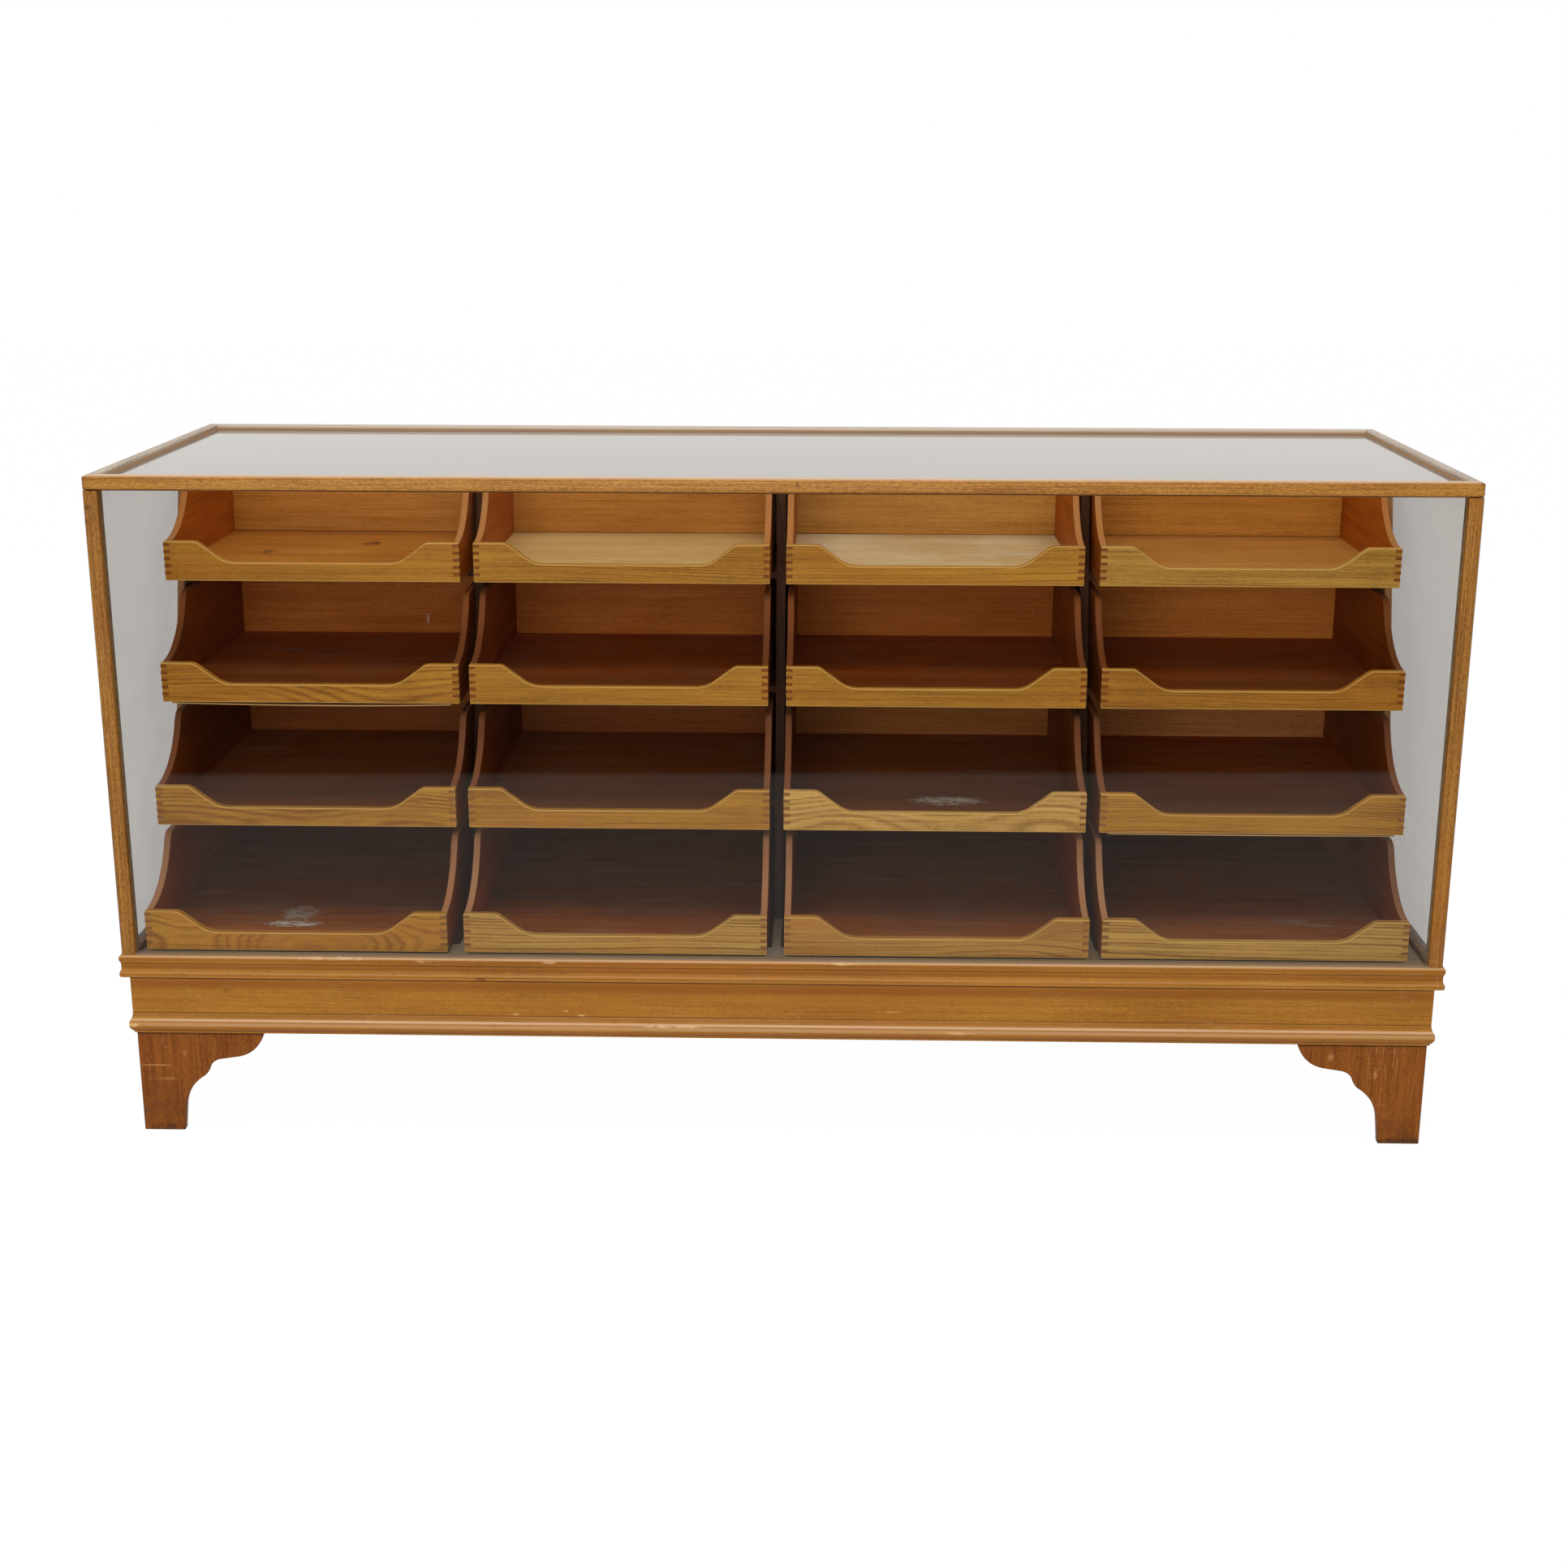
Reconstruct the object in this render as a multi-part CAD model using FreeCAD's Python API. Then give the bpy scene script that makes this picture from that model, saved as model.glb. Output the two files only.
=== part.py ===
import FreeCAD, Part
import math
import os

from FreeCAD import Vector

# A glazed shop counter: a slender glass case on a moulded base with bracket feet.
# Sixteen dish-fronted drawers stand in a raked rack inside it and pull out at the back.
# Millimetres. x runs along the counter, y from the customer's side to the server's side,
# z is up. The origin is on the floor under the middle of the counter.

# Glass case
case_width = 1800.0            # over the outer faces of the posts
case_depth = 600.0
case_height = 920.0
member = 20.0                  # section of the rails and posts
member_round = 6.0             # their outer edges
member_ease = 2.0              # their inner edges
lip = 8.0                      # wood outside an upright pane
pane = 5.0                     # glass thickness
pane_play = 0.5                # between the edge of a pane and the wood
pane_housing = 4.0             # how far an upright pane enters the wood above and below it
top_ledge = 4.0                # wood under the edge of the top pane
top_lip = 18.0                 # width of the rails beside the top pane
top_seat = 7.0                 # how far the top pane lies on the rails
top_ease = 3.0                 # the rails' upper inner edges
putty = 2.5                    # leg of the fillet round the top pane
foot_bead = 6.0                # height of the bead along the bottom of an end pane
stub_length = 6.0              # how far a post's stub tenon goes past the housing

# Base
foot_height = 148.0
foot_inset = 10.0
foot_board = 12.0
foot_wing = 177.3              # width of the foot at the top
foot_toe = 57.0                # and at the floor
# Corners of a foot's shaped edge: across from the outer edge, below the top, radius
foot_edge = [(63.6, 84.0, 60.0), (94.9, 62.3, 17.9), (101.2, 42.3, 22.7), (164.0, 32.4, 43.0)]
foot_toe_round = 3.0
foot_block = 28.0              # glue block in the corner of a foot
foot_block_rise = 26.0
foot_block_lift = 4.0
plinth_inset = 7.5
plinth_height = 99.0
moulding_rise = 18.0           # top moulding above the plinth boards
moulding_cover = 9.0           # how far it covers their top edge
nose_proud = 2.5
nose_round = 4.5
nose_height = 8.0
nose_under = 4.5
neck_inset = -0.5
neck_height = 9.0
bead_rise = 4.0
bead_proud = 3.0
bead_height = 6.5
bead_under = 2.5
hollow_round = 5.0             # roundings in the neck and on the bead
bead_round = 3.5
ease = 1.5                     # small roundings of the mouldings
base_bead_inset = 2.5
base_bead_height = 25.5
base_bead_round = 8.0
base_bead_flare = 6.0
base_bead_lift = 3.0
deck_thick = 12.0
bearer_width = 40.0
bearer_height = 22.0
bearers = 3

# Rack
columns = 4
rows = 4
upright_thick = 12.5
end_upright_thick = 10.0
rack_shift = -4.0              # the rack stands a little left of the middle
upright_end_room = 21.75       # from the case's outer face to the end upright
upright_foot = 190.0           # front edge behind the case's front, at the deck
upright_head = 362.0           # the same at the top
upright_housing = 3.0
back_room = 40.0               # from the drawer faces' inner side to the case's back
runner_width = 12.0
runner_height = 9.0
runner_play = 0.3
floor_strip_start = 70.0
cross_rail_depth = 20.0
cross_rail_height = 14.0
tie_rail_depth = 30.0
tie_rail_height = 10.0
stop_gap = 0.3                 # between a drawer's face and the uprights

# Drawers
first_front = 18.0             # lowest fronts behind the case's front
row_step = 67.0                # each row above stands this much further back
deck_gap = 7.0                 # under the lowest drawers
row_gap = 24.0                 # between a drawer's sides and the drawer above
head_room = 22.0               # over the top row
drawer_play = 4.25             # each side of a drawer
drawer_bottom = 4.0
bottom_lift = 12.0             # of the bottom board over the drawer's foot
bottom_groove = 4.0            # how far the bottom board runs into front and sides
drawer_front = 12.0
front_height = 55.5
front_flat = 46.0              # from the front's end to the start of the dip
front_slope = 40.0             # length of the slope down into the dip
front_dip = 29.5               # depth of the dip
dip_top_round = 14.0
dip_foot_round = 40.0
drawer_side = 9.0
side_sweep = 116.0             # radius of the hollow curve at the front of a side
side_sweep_start = 76.5        # its corner behind the front face
side_sweep_run = 38.8          # how far back the curve's upper tangent runs
side_top_round = 20.0
fingers = 5
finger_height = 4.6
finger_pitch = 10.0
finger_margin = 9.0            # below the lowest finger
face_thick = 12.0
face_gap = 3.0                 # between two drawer faces
face_drop = 3.5                # how far a face hangs below its drawer
face_round = 3.0
face_groove = 5.0              # depth of the grooves that take the sides
knob_reach = 25.0
knob_head = 14.0               # radii of the turned knob
knob_neck = 7.0
knob_base = 9.5
knob_spigot = 5.0
knob_head_depth = 10.0
knob_base_depth = 4.0
knob_round = 4.0
spigot_play = 0.2
tray_shift = [(-1.8, -3.1, -1.2, 0.0),      # how far each tray sits off its face's
              (2.6, -3.5, 0.3, 0.0),        # middle; rows from the top
              (3.5, 0.3, -1.3, -3.4),
              (-3.5, -1.2, 1.3, -2.2)]

# Places that follow from the sizes
half_width = case_width / 2
half_depth = case_depth / 2
pane_inner = lip + pane
rail_bottom = case_height - member
pane_head = rail_bottom + pane_housing
top_pane_bed = pane_head + top_ledge
plinth_thick = foot_inset + foot_board - plinth_inset
plinth_top = foot_height + plinth_height
base_top = plinth_top + moulding_rise
pane_foot = base_top - pane_housing
moulding_inner = plinth_inset + moulding_cover
deck_top = plinth_top + deck_thick
first_bottom = deck_top + deck_gap
upright_span = case_width - 2 * upright_end_room - upright_thick
column_pitch = upright_span / columns
drawer_width = column_pitch - upright_thick - 2 * drawer_play
row_pitch = (rail_bottom - first_bottom - head_room + row_gap) / rows
drawer_height = row_pitch - row_gap
back_plane = half_depth - back_room
rack_back = back_plane - stop_gap


def unit(vector):
    return vector * (1.0 / vector.Length)


def block(x0, x1, y0, y1, z0, z1):
    return Part.makeBox(x1 - x0, y1 - y0, z1 - z0, Vector(x0, y0, z0))


def outline(corners, place):
    # A closed face through corners (a, b, radius), each rounded by its own radius.
    count = len(corners)
    flat = [Vector(a, b, 0) for a, b, radius in corners]
    rounds = []
    for index in range(count):
        corner = flat[index]
        radius = corners[index][2]
        back = unit(flat[index - 1] - corner)
        ahead = unit(flat[(index + 1) % count] - corner)
        half_angle = back.getAngle(ahead) / 2
        reach = radius / math.tan(half_angle)
        middle = unit(back + ahead) * (radius / math.sin(half_angle) - radius)
        rounds.append((corner + back * reach, corner + middle, corner + ahead * reach))
    spots = [[place(p.x, p.y) for p in triple] for triple in rounds]
    edges = []
    for index in range(count):
        start, middle, end = spots[index]
        if corners[index][2] > 0:
            edges.append(Part.Arc(start, middle, end).toShape())
        edges.append(Part.makeLine(end, spots[(index + 1) % count][0]))
    return Part.Face(Part.Wire(edges))


def save(name, pieces):
    shape = pieces[0] if len(pieces) == 1 else Part.makeCompound(pieces)
    shape.exportStep("parts/" + name + ".step")


# Lengths round the case. A section is drawn in (inset, z), where inset is the distance
# inside the case's outer face, and each length is mitred at both ends.

turns = {"front": 0, "right": 90, "rear": 180, "left": 270}


def turned(shape, side):
    copy = shape.copy()
    copy.rotate(Vector(0, 0, 0), Vector(0, 0, 1), turns[side])
    return copy


def side_lengths(side):
    if side in ("front", "rear"):
        return half_width, half_depth
    return half_depth, half_width


def mitred(section, side):
    along, across = side_lengths(side)
    face = outline(section, lambda inset, z: Vector(-along - member, inset - across, z))
    bar = face.extrude(Vector(2 * (along + member), 0, 0))
    corners = [(-along - member, -across - member, 0), (along + member, -across - member, 0),
               (along - 2 * member, 2 * member - across, 0),
               (2 * member - along, 2 * member - across, 0)]
    cutter = outline(corners, lambda x, y: Vector(x, y, 0))
    keep = cutter.extrude(Vector(0, 0, case_height))
    return turned(bar.common(keep), side)


def side_block(side, start, stop, inset0, inset1, z0, z1):
    # A straight block along one side, set in from the case's corners by start and stop.
    along, across = side_lengths(side)
    bar = block(start - along, along - stop, inset0 - across, inset1 - across, z0, z1)
    return turned(bar, side)


def stub(x_sign, y_sign, z0, z1):
    # The square stub tenon that joins a post to the rails above or the moulding below.
    x = sorted((x_sign * (half_width - lip), x_sign * (half_width - pane_inner)))
    y = sorted((y_sign * (half_depth - lip), y_sign * (half_depth - pane_inner)))
    return block(x[0], x[1], y[0], y[1], z0, z1)


corners_of_case = {"front_left": (-1, -1), "front_right": (1, -1),
                   "rear_left": (-1, 1), "rear_right": (1, 1)}
stub_top = pane_head + stub_length
stub_foot = pane_foot - stub_length


def all_stubs(z0, z1):
    return [stub(x, y, z0, z1) for x, y in corners_of_case.values()]


def top_rail(side):
    rail_rebate = [(lip, rail_bottom, 0), (lip, pane_head, 0)]
    if side == "rear":
        rail_rebate = [(member, rail_bottom, member_ease), (member, pane_head, 0)]
    # The case's plan, with rounded corners
    plan = [(sx * half_width, sy * half_depth, member_round)
            for sx, sy in ((-1, -1), (1, -1), (1, 1), (-1, 1))]
    corner_limit = outline(plan, lambda a, b: Vector(a, b, rail_bottom))
    corner_limit = corner_limit.extrude(Vector(0, 0, member))
    section = [(0, rail_bottom, member_round)] + rail_rebate + [
        (top_lip + top_seat, pane_head, 0),
        (top_lip + top_seat, top_pane_bed, 0),
        (top_lip, top_pane_bed, 0),
        (top_lip, case_height, top_ease),
        (0, case_height, member_round)]
    rail = mitred(section, side).common(corner_limit)
    for tenon in all_stubs(rail_bottom, stub_top):
        rail = rail.cut(tenon)
    return rail


def post(name):
    x_sign, y_sign = corners_of_case[name]
    front_rebate = [(member, lip, 0), (pane_inner, lip, 0), (pane_inner, pane_inner, 0)]
    if y_sign > 0:
        front_rebate = [(member, pane_inner, 0)]
    section = [(0, 0, member_round), (member, 0, member_ease)] + front_rebate + [
        (lip, pane_inner, 0),
        (lip, member, 0),
        (0, member, member_ease)]

    def place(inset_x, inset_y):
        return Vector(x_sign * (half_width - inset_x), y_sign * (half_depth - inset_y), base_top)

    shaft = outline(section, place).extrude(Vector(0, 0, rail_bottom - base_top))
    upper = stub(x_sign, y_sign, rail_bottom, stub_top)
    lower = stub(x_sign, y_sign, stub_foot, base_top)
    return shaft.fuse([upper, lower]).removeSplitter()


def panes():
    edge = top_lip + pane_play
    top = block(edge - half_width, half_width - edge, edge - half_depth, half_depth - edge,
                top_pane_bed, top_pane_bed + pane)
    edge = pane_inner + pane_play
    foot = pane_foot + pane_play
    head = pane_head - pane_play
    front = side_block("front", edge, edge, lip, pane_inner, foot, head)
    right = side_block("right", edge, edge, lip, pane_inner, foot, head)
    left = side_block("left", edge, edge, lip, pane_inner, foot, head)
    return {"glass_top": top, "glass_front": front, "glass_right": right, "glass_left": left}


def glazing_beads():
    beads = []
    for x_sign, y_sign in corners_of_case.values():
        x = sorted((x_sign * (half_width - pane_inner), x_sign * (half_width - member)))
        y = sorted((y_sign * (half_depth - pane_inner), y_sign * (half_depth - member)))
        beads.append(block(x[0], x[1], y[0], y[1], base_top, rail_bottom))
    beads.append(side_block("front", pane_inner, pane_inner, pane_inner, member,
                            rail_bottom, pane_head))
    for side in ("left", "right"):
        for low, high in ((rail_bottom, pane_head), (base_top, base_top + foot_bead)):
            beads.append(side_block(side, member, member, pane_inner, member, low, high))
    glass = top_pane_bed + pane
    fillet = [(top_lip, glass, 0), (top_lip + putty, glass, 0), (top_lip, glass + putty, 0)]
    for side in turns:
        beads.append(mitred(fillet, side))
    return beads


def top_moulding():
    nose_foot = base_top - nose_height
    neck_top = nose_foot - nose_under
    neck_foot = neck_top - neck_height
    bead_top = neck_foot - bead_rise
    bead_foot = bead_top - bead_height
    under = bead_foot - bead_under
    section = [(moulding_inner, base_top, 0),
               (-nose_proud, base_top, nose_round),
               (-nose_proud, nose_foot, hollow_round),
               (neck_inset, neck_top, hollow_round),
               (neck_inset, neck_foot, hollow_round),
               (-bead_proud, bead_top, bead_round),
               (-bead_proud, bead_foot, bead_round),
               (bead_proud, under, ease),
               (plinth_inset, under, 0),
               (plinth_inset, plinth_top, 0),
               (moulding_inner, plinth_top, 0)]
    lengths = []
    for side in turns:
        length = mitred(section, side)
        if side == "rear":
            length = length.cut(side_block(side, member, member, -member, member + moulding_inner,
                                           deck_top, base_top))
        else:
            length = length.cut(side_block(side, pane_inner, pane_inner, lip, pane_inner,
                                           pane_foot, base_top))
        for tenon in all_stubs(stub_foot, base_top):
            length = length.cut(tenon)
        lengths.append(length)
    return lengths


def plinth_boards():
    inner = plinth_inset + plinth_thick
    section = [(plinth_inset, foot_height, 0), (inner, foot_height, 0),
               (inner, plinth_top, 0), (plinth_inset, plinth_top, 0)]
    return [mitred(section, side) for side in turns]


def base_moulding():
    foot = foot_height + base_bead_lift
    top = foot + base_bead_height
    depth = plinth_inset - base_bead_inset
    section = [(plinth_inset, foot, 0),
               (plinth_inset, top, 0),
               (plinth_inset - depth / 4, top - base_bead_flare, base_bead_round),
               (base_bead_inset, top - 2 * base_bead_flare, base_bead_round),
               (base_bead_inset, foot + base_bead_flare, base_bead_round),
               (plinth_inset - depth / 4, foot, ease)]
    return [mitred(section, side) for side in turns]


def foot(name):
    # Two shaped boards mitred at the corner, with a glue block behind them.
    x_sign, y_sign = corners_of_case[name]
    shaped = [(across, foot_height - below, radius) for across, below, radius in foot_edge]
    profile = [(0, 0, 0), (foot_toe, 0, foot_toe_round)] + shaped + [(foot_wing, foot_height, 0), (0, foot_height, 0)]
    corner_x = half_width - foot_inset
    corner_y = half_depth - foot_inset
    long_board = outline(profile, lambda a, z: Vector(x_sign * (corner_x - a),
                                                      y_sign * corner_y, z))
    long_board = long_board.extrude(Vector(0, -y_sign * foot_board, 0))
    side_board = outline(profile, lambda a, z: Vector(x_sign * corner_x,
                                                      y_sign * (corner_y - a), z))
    side_board = side_board.extrude(Vector(-x_sign * foot_board, 0, 0))

    def mitre(a, b):
        return Vector(x_sign * (corner_x - a), y_sign * (corner_y - b), 0)

    half = outline([(0, 0, 0), (foot_board, 0, 0), (foot_board, foot_board, 0)], mitre)
    other = outline([(0, 0, 0), (0, foot_board, 0), (foot_board, foot_board, 0)], mitre)
    side_board = side_board.cut(half.extrude(Vector(0, 0, foot_height)))
    long_board = long_board.cut(other.extrude(Vector(0, 0, foot_height)))
    x = sorted((x_sign * (corner_x - foot_board), x_sign * (corner_x - foot_board - foot_block)))
    y = sorted((y_sign * (corner_y - foot_board), y_sign * (corner_y - foot_board - foot_block)))
    glue_block = block(x[0], x[1], y[0], y[1], foot_block_lift, foot_height + foot_block_rise)
    return [long_board, side_board, glue_block]


def upright_x(index):
    return (index - columns / 2) * column_pitch + rack_shift


def upright_faces(index):
    # The end uprights are thinner on their outer side.
    x = upright_x(index)
    spare = upright_thick - end_upright_thick
    left = spare if index == 0 else 0
    right = spare if index == columns else 0
    return x - upright_thick / 2 + left, x + upright_thick / 2 - right


def rake(z):
    # The front edge of the uprights at the height z.
    share = (z - deck_top) / (rail_bottom - deck_top)
    return upright_foot + (upright_head - upright_foot) * share - half_depth


def level_bottom(level):
    return first_bottom + level * row_pitch


def deck():
    board = block(moulding_inner - half_width, half_width - moulding_inner,
                  moulding_inner - half_depth, half_depth - moulding_inner,
                  plinth_top, deck_top)
    for index in range(columns + 1):
        left, right = upright_faces(index)
        board = board.cut(block(left, right, rake(deck_top), rack_back,
                                deck_top - upright_housing, deck_top))
    return board


def deck_bearers():
    end = half_depth - plinth_inset - plinth_thick
    pitch = upright_span / (bearers + 1)
    pieces = []
    for index in range(bearers):
        x = (index - (bearers - 1) / 2) * pitch
        pieces.append(block(x - bearer_width / 2, x + bearer_width / 2, -end, end,
                            plinth_top - bearer_height, plinth_top))
    return pieces


def tie_rail():
    return block(upright_faces(0)[0], upright_faces(columns)[1], rack_back - tie_rail_depth,
                 rack_back, rail_bottom - tie_rail_height, rail_bottom)


def rack_upright(index):
    # One board with the runners that it carries on its inner faces.
    left, right = upright_faces(index)
    foot_z = deck_top - upright_housing
    profile = [(rake(deck_top), foot_z, 0),
               (rack_back, foot_z, 0),
               (rack_back, rail_bottom, 0),
               (rake(rail_bottom), rail_bottom, member_round),
               (rake(deck_top), deck_top, 0)]
    board = outline(profile, lambda y, z: Vector(left, y, z))
    board = board.extrude(Vector(right - left, 0, 0)).cut(tie_rail())
    pieces = [board]
    for hand in (-1, 1):
        if not 0 <= index + (hand - 1) // 2 < columns:
            continue
        face = left if hand < 0 else right
        edges = sorted((face, face + hand * runner_width))
        for level in range(rows):
            top = level_bottom(level) - runner_play
            foot_z = top - runner_height
            start = rake(foot_z)
            stop = rack_back - cross_rail_depth
            if level == 0:
                foot_z = deck_top
                start = floor_strip_start - half_depth
                stop = rack_back
            pieces.append(block(edges[0], edges[1], start, stop, foot_z, top))
    return pieces


def rack_rails():
    # The cross rails between the rows at the back, and the tie rail over the top row.
    pieces = [tie_rail()]
    for level in range(1, rows):
        top = level_bottom(level) - runner_play
        for column in range(columns):
            left = upright_faces(column)[1]
            right = upright_faces(column + 1)[0]
            pieces.append(block(left, right, rack_back - cross_rail_depth, rack_back,
                                top - cross_rail_height, top))
    return pieces


def drawer_place(row, column):
    # Rows count down from the top, columns from the left.
    level = rows - 1 - row
    x = (upright_x(column) + upright_x(column + 1)) / 2
    y = first_front + level * row_step - half_depth
    return x, y, level_bottom(level)


def finger_blocks(x0, x1, y, z):
    blocks = []
    for index in range(fingers):
        low = z + finger_margin + index * finger_pitch
        blocks.append(block(x0, x1, y, y + drawer_front, low, low + finger_height))
    return blocks


def drawer_box(row, column):
    middle, y, z = drawer_place(row, column)
    x = middle + tray_shift[row][column]
    half = drawer_width / 2
    top = z + front_height
    dip = top - front_dip
    corners = [(x - half, z, 0), (x + half, z, 0), (x + half, top, 0),
               (x + half - front_flat, top, dip_top_round),
               (x + half - front_flat - front_slope, dip, dip_foot_round),
               (x - half + front_flat + front_slope, dip, dip_foot_round),
               (x - half + front_flat, top, dip_top_round),
               (x - half, top, 0)]
    front = outline(corners, lambda a, b: Vector(a, y, b)).extrude(Vector(0, drawer_front, 0))
    side_top = z + drawer_height
    sweep = y + side_sweep_start
    profile = [(y, z, 0), (back_plane + face_groove, z, 0),
               (back_plane + face_groove, side_top, 0),
               (sweep + side_sweep_run, side_top, side_top_round),
               (sweep, top, side_sweep), (y, top, 0)]
    face_half = (column_pitch - face_gap) / 2
    face_foot = z - face_drop
    face_top = face_foot + row_pitch - face_gap
    face_corners = [(middle - face_half, face_foot, face_round),
                    (middle + face_half, face_foot, face_round),
                    (middle + face_half, face_top, face_round),
                    (middle - face_half, face_top, face_round)]
    face = outline(face_corners, lambda a, b: Vector(a, back_plane, b))
    face = face.extrude(Vector(0, face_thick, 0))
    knob_z = z + drawer_height / 2
    hole = Part.makeCylinder(knob_spigot + spigot_play, face_thick,
                             Vector(middle, back_plane, knob_z), Vector(0, 1, 0))
    face = face.cut(hole)
    reach = half - drawer_side + bottom_groove
    bed = z + bottom_lift
    bottom = block(x - reach, x + reach, y + drawer_front - bottom_groove, back_plane,
                   bed, bed + drawer_bottom)
    front = front.cut(bottom)
    pieces = []
    for outer in (x - half, x + half - drawer_side):
        inner = outer + drawer_side
        board = outline(profile, lambda a, b: Vector(outer, a, b))
        board = board.extrude(Vector(drawer_side, 0, 0))
        joint = Part.makeCompound(finger_blocks(outer, inner, y, z))
        corner = block(outer, inner, y, y + drawer_front, z, z + drawer_height)
        board = board.cut(corner.cut(joint)).cut(bottom)
        front = front.cut(joint)
        face = face.cut(block(outer, inner, back_plane, back_plane + face_groove,
                              z, side_top))
        pieces.append(board)
    return [front] + pieces + [bottom, face]


def drawer_knob(row, column):
    # A turned knob whose spigot is glued through the drawer's face.
    x, y, z = drawer_place(row, column)
    face = back_plane + face_thick
    crown = face + knob_reach
    shoulder = crown - knob_head_depth
    section = [(0, back_plane, 0),
               (knob_spigot, back_plane, 0),
               (knob_spigot, face, 0),
               (knob_base, face, 0),
               (knob_base, face + knob_base_depth, ease),
               (knob_neck, face + knob_base_depth + ease, ease),
               (knob_neck, shoulder - ease, ease),
               (knob_head, shoulder, knob_round / 2),
               (knob_head, crown, knob_round),
               (0, crown, 0)]
    knob_z = z + drawer_height / 2
    profile = outline(section, lambda radius, along: Vector(x + radius, along, knob_z))
    return profile.revolve(Vector(x, back_plane, knob_z), Vector(0, 1, 0), 360)


def build():
    os.makedirs("parts", exist_ok=True)
    for side in turns:
        save("top_rail_" + side, [top_rail(side)])
    for name in corners_of_case:
        save("post_" + name, [post(name)])
        save("foot_" + name, foot(name))
    for name, sheet in panes().items():
        save(name, [sheet])
    save("glazing_beads", glazing_beads())
    save("top_moulding", top_moulding())
    save("plinth_boards", plinth_boards())
    save("base_moulding", base_moulding())
    save("deck_board", [deck()])
    save("deck_bearers", deck_bearers())
    for index in range(columns + 1):
        save("rack_upright_%d" % (index + 1), rack_upright(index))
    save("rack_rails", rack_rails())
    for row in range(rows):
        for column in range(columns):
            name = "drawer_r%dc%d" % (row + 1, column + 1)
            save(name + "_box", drawer_box(row, column))
            save(name + "_knob", [drawer_knob(row, column)])


build()
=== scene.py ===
import math

import bpy
import numpy as np
from mathutils import Matrix, Vector


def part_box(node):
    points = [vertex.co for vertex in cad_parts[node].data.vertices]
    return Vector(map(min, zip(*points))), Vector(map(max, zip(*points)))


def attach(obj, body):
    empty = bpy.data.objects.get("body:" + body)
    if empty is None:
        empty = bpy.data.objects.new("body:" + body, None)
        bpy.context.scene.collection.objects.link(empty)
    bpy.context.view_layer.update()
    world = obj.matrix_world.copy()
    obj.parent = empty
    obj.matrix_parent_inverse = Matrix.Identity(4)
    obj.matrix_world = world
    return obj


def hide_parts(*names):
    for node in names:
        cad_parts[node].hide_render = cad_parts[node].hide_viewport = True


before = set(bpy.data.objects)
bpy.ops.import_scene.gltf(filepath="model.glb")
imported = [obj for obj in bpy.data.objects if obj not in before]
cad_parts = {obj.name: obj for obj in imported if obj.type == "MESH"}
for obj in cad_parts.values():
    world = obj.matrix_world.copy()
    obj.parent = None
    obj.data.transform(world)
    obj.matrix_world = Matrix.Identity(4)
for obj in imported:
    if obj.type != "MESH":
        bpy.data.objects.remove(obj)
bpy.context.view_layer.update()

# Haberdasher's counter: glass case, raked rack of dish-fronted drawers, moulded base.
# Metres. x runs along the counter, y from the customer to the server, z is up.

rng = np.random.default_rng(23)
mm = 0.001


def srgb(red, green, blue):
    # Screen colour 0-255 to linear: ((c + 0.055) / 1.055) to the power 2.4.
    share = np.array([red, green, blue]) / 255.0
    linear = np.where(share < 0.04045, share / 12.92, ((share + 0.055) / 1.055) ** 2.4)
    return (*[float(value) for value in linear], 1.0)


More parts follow.
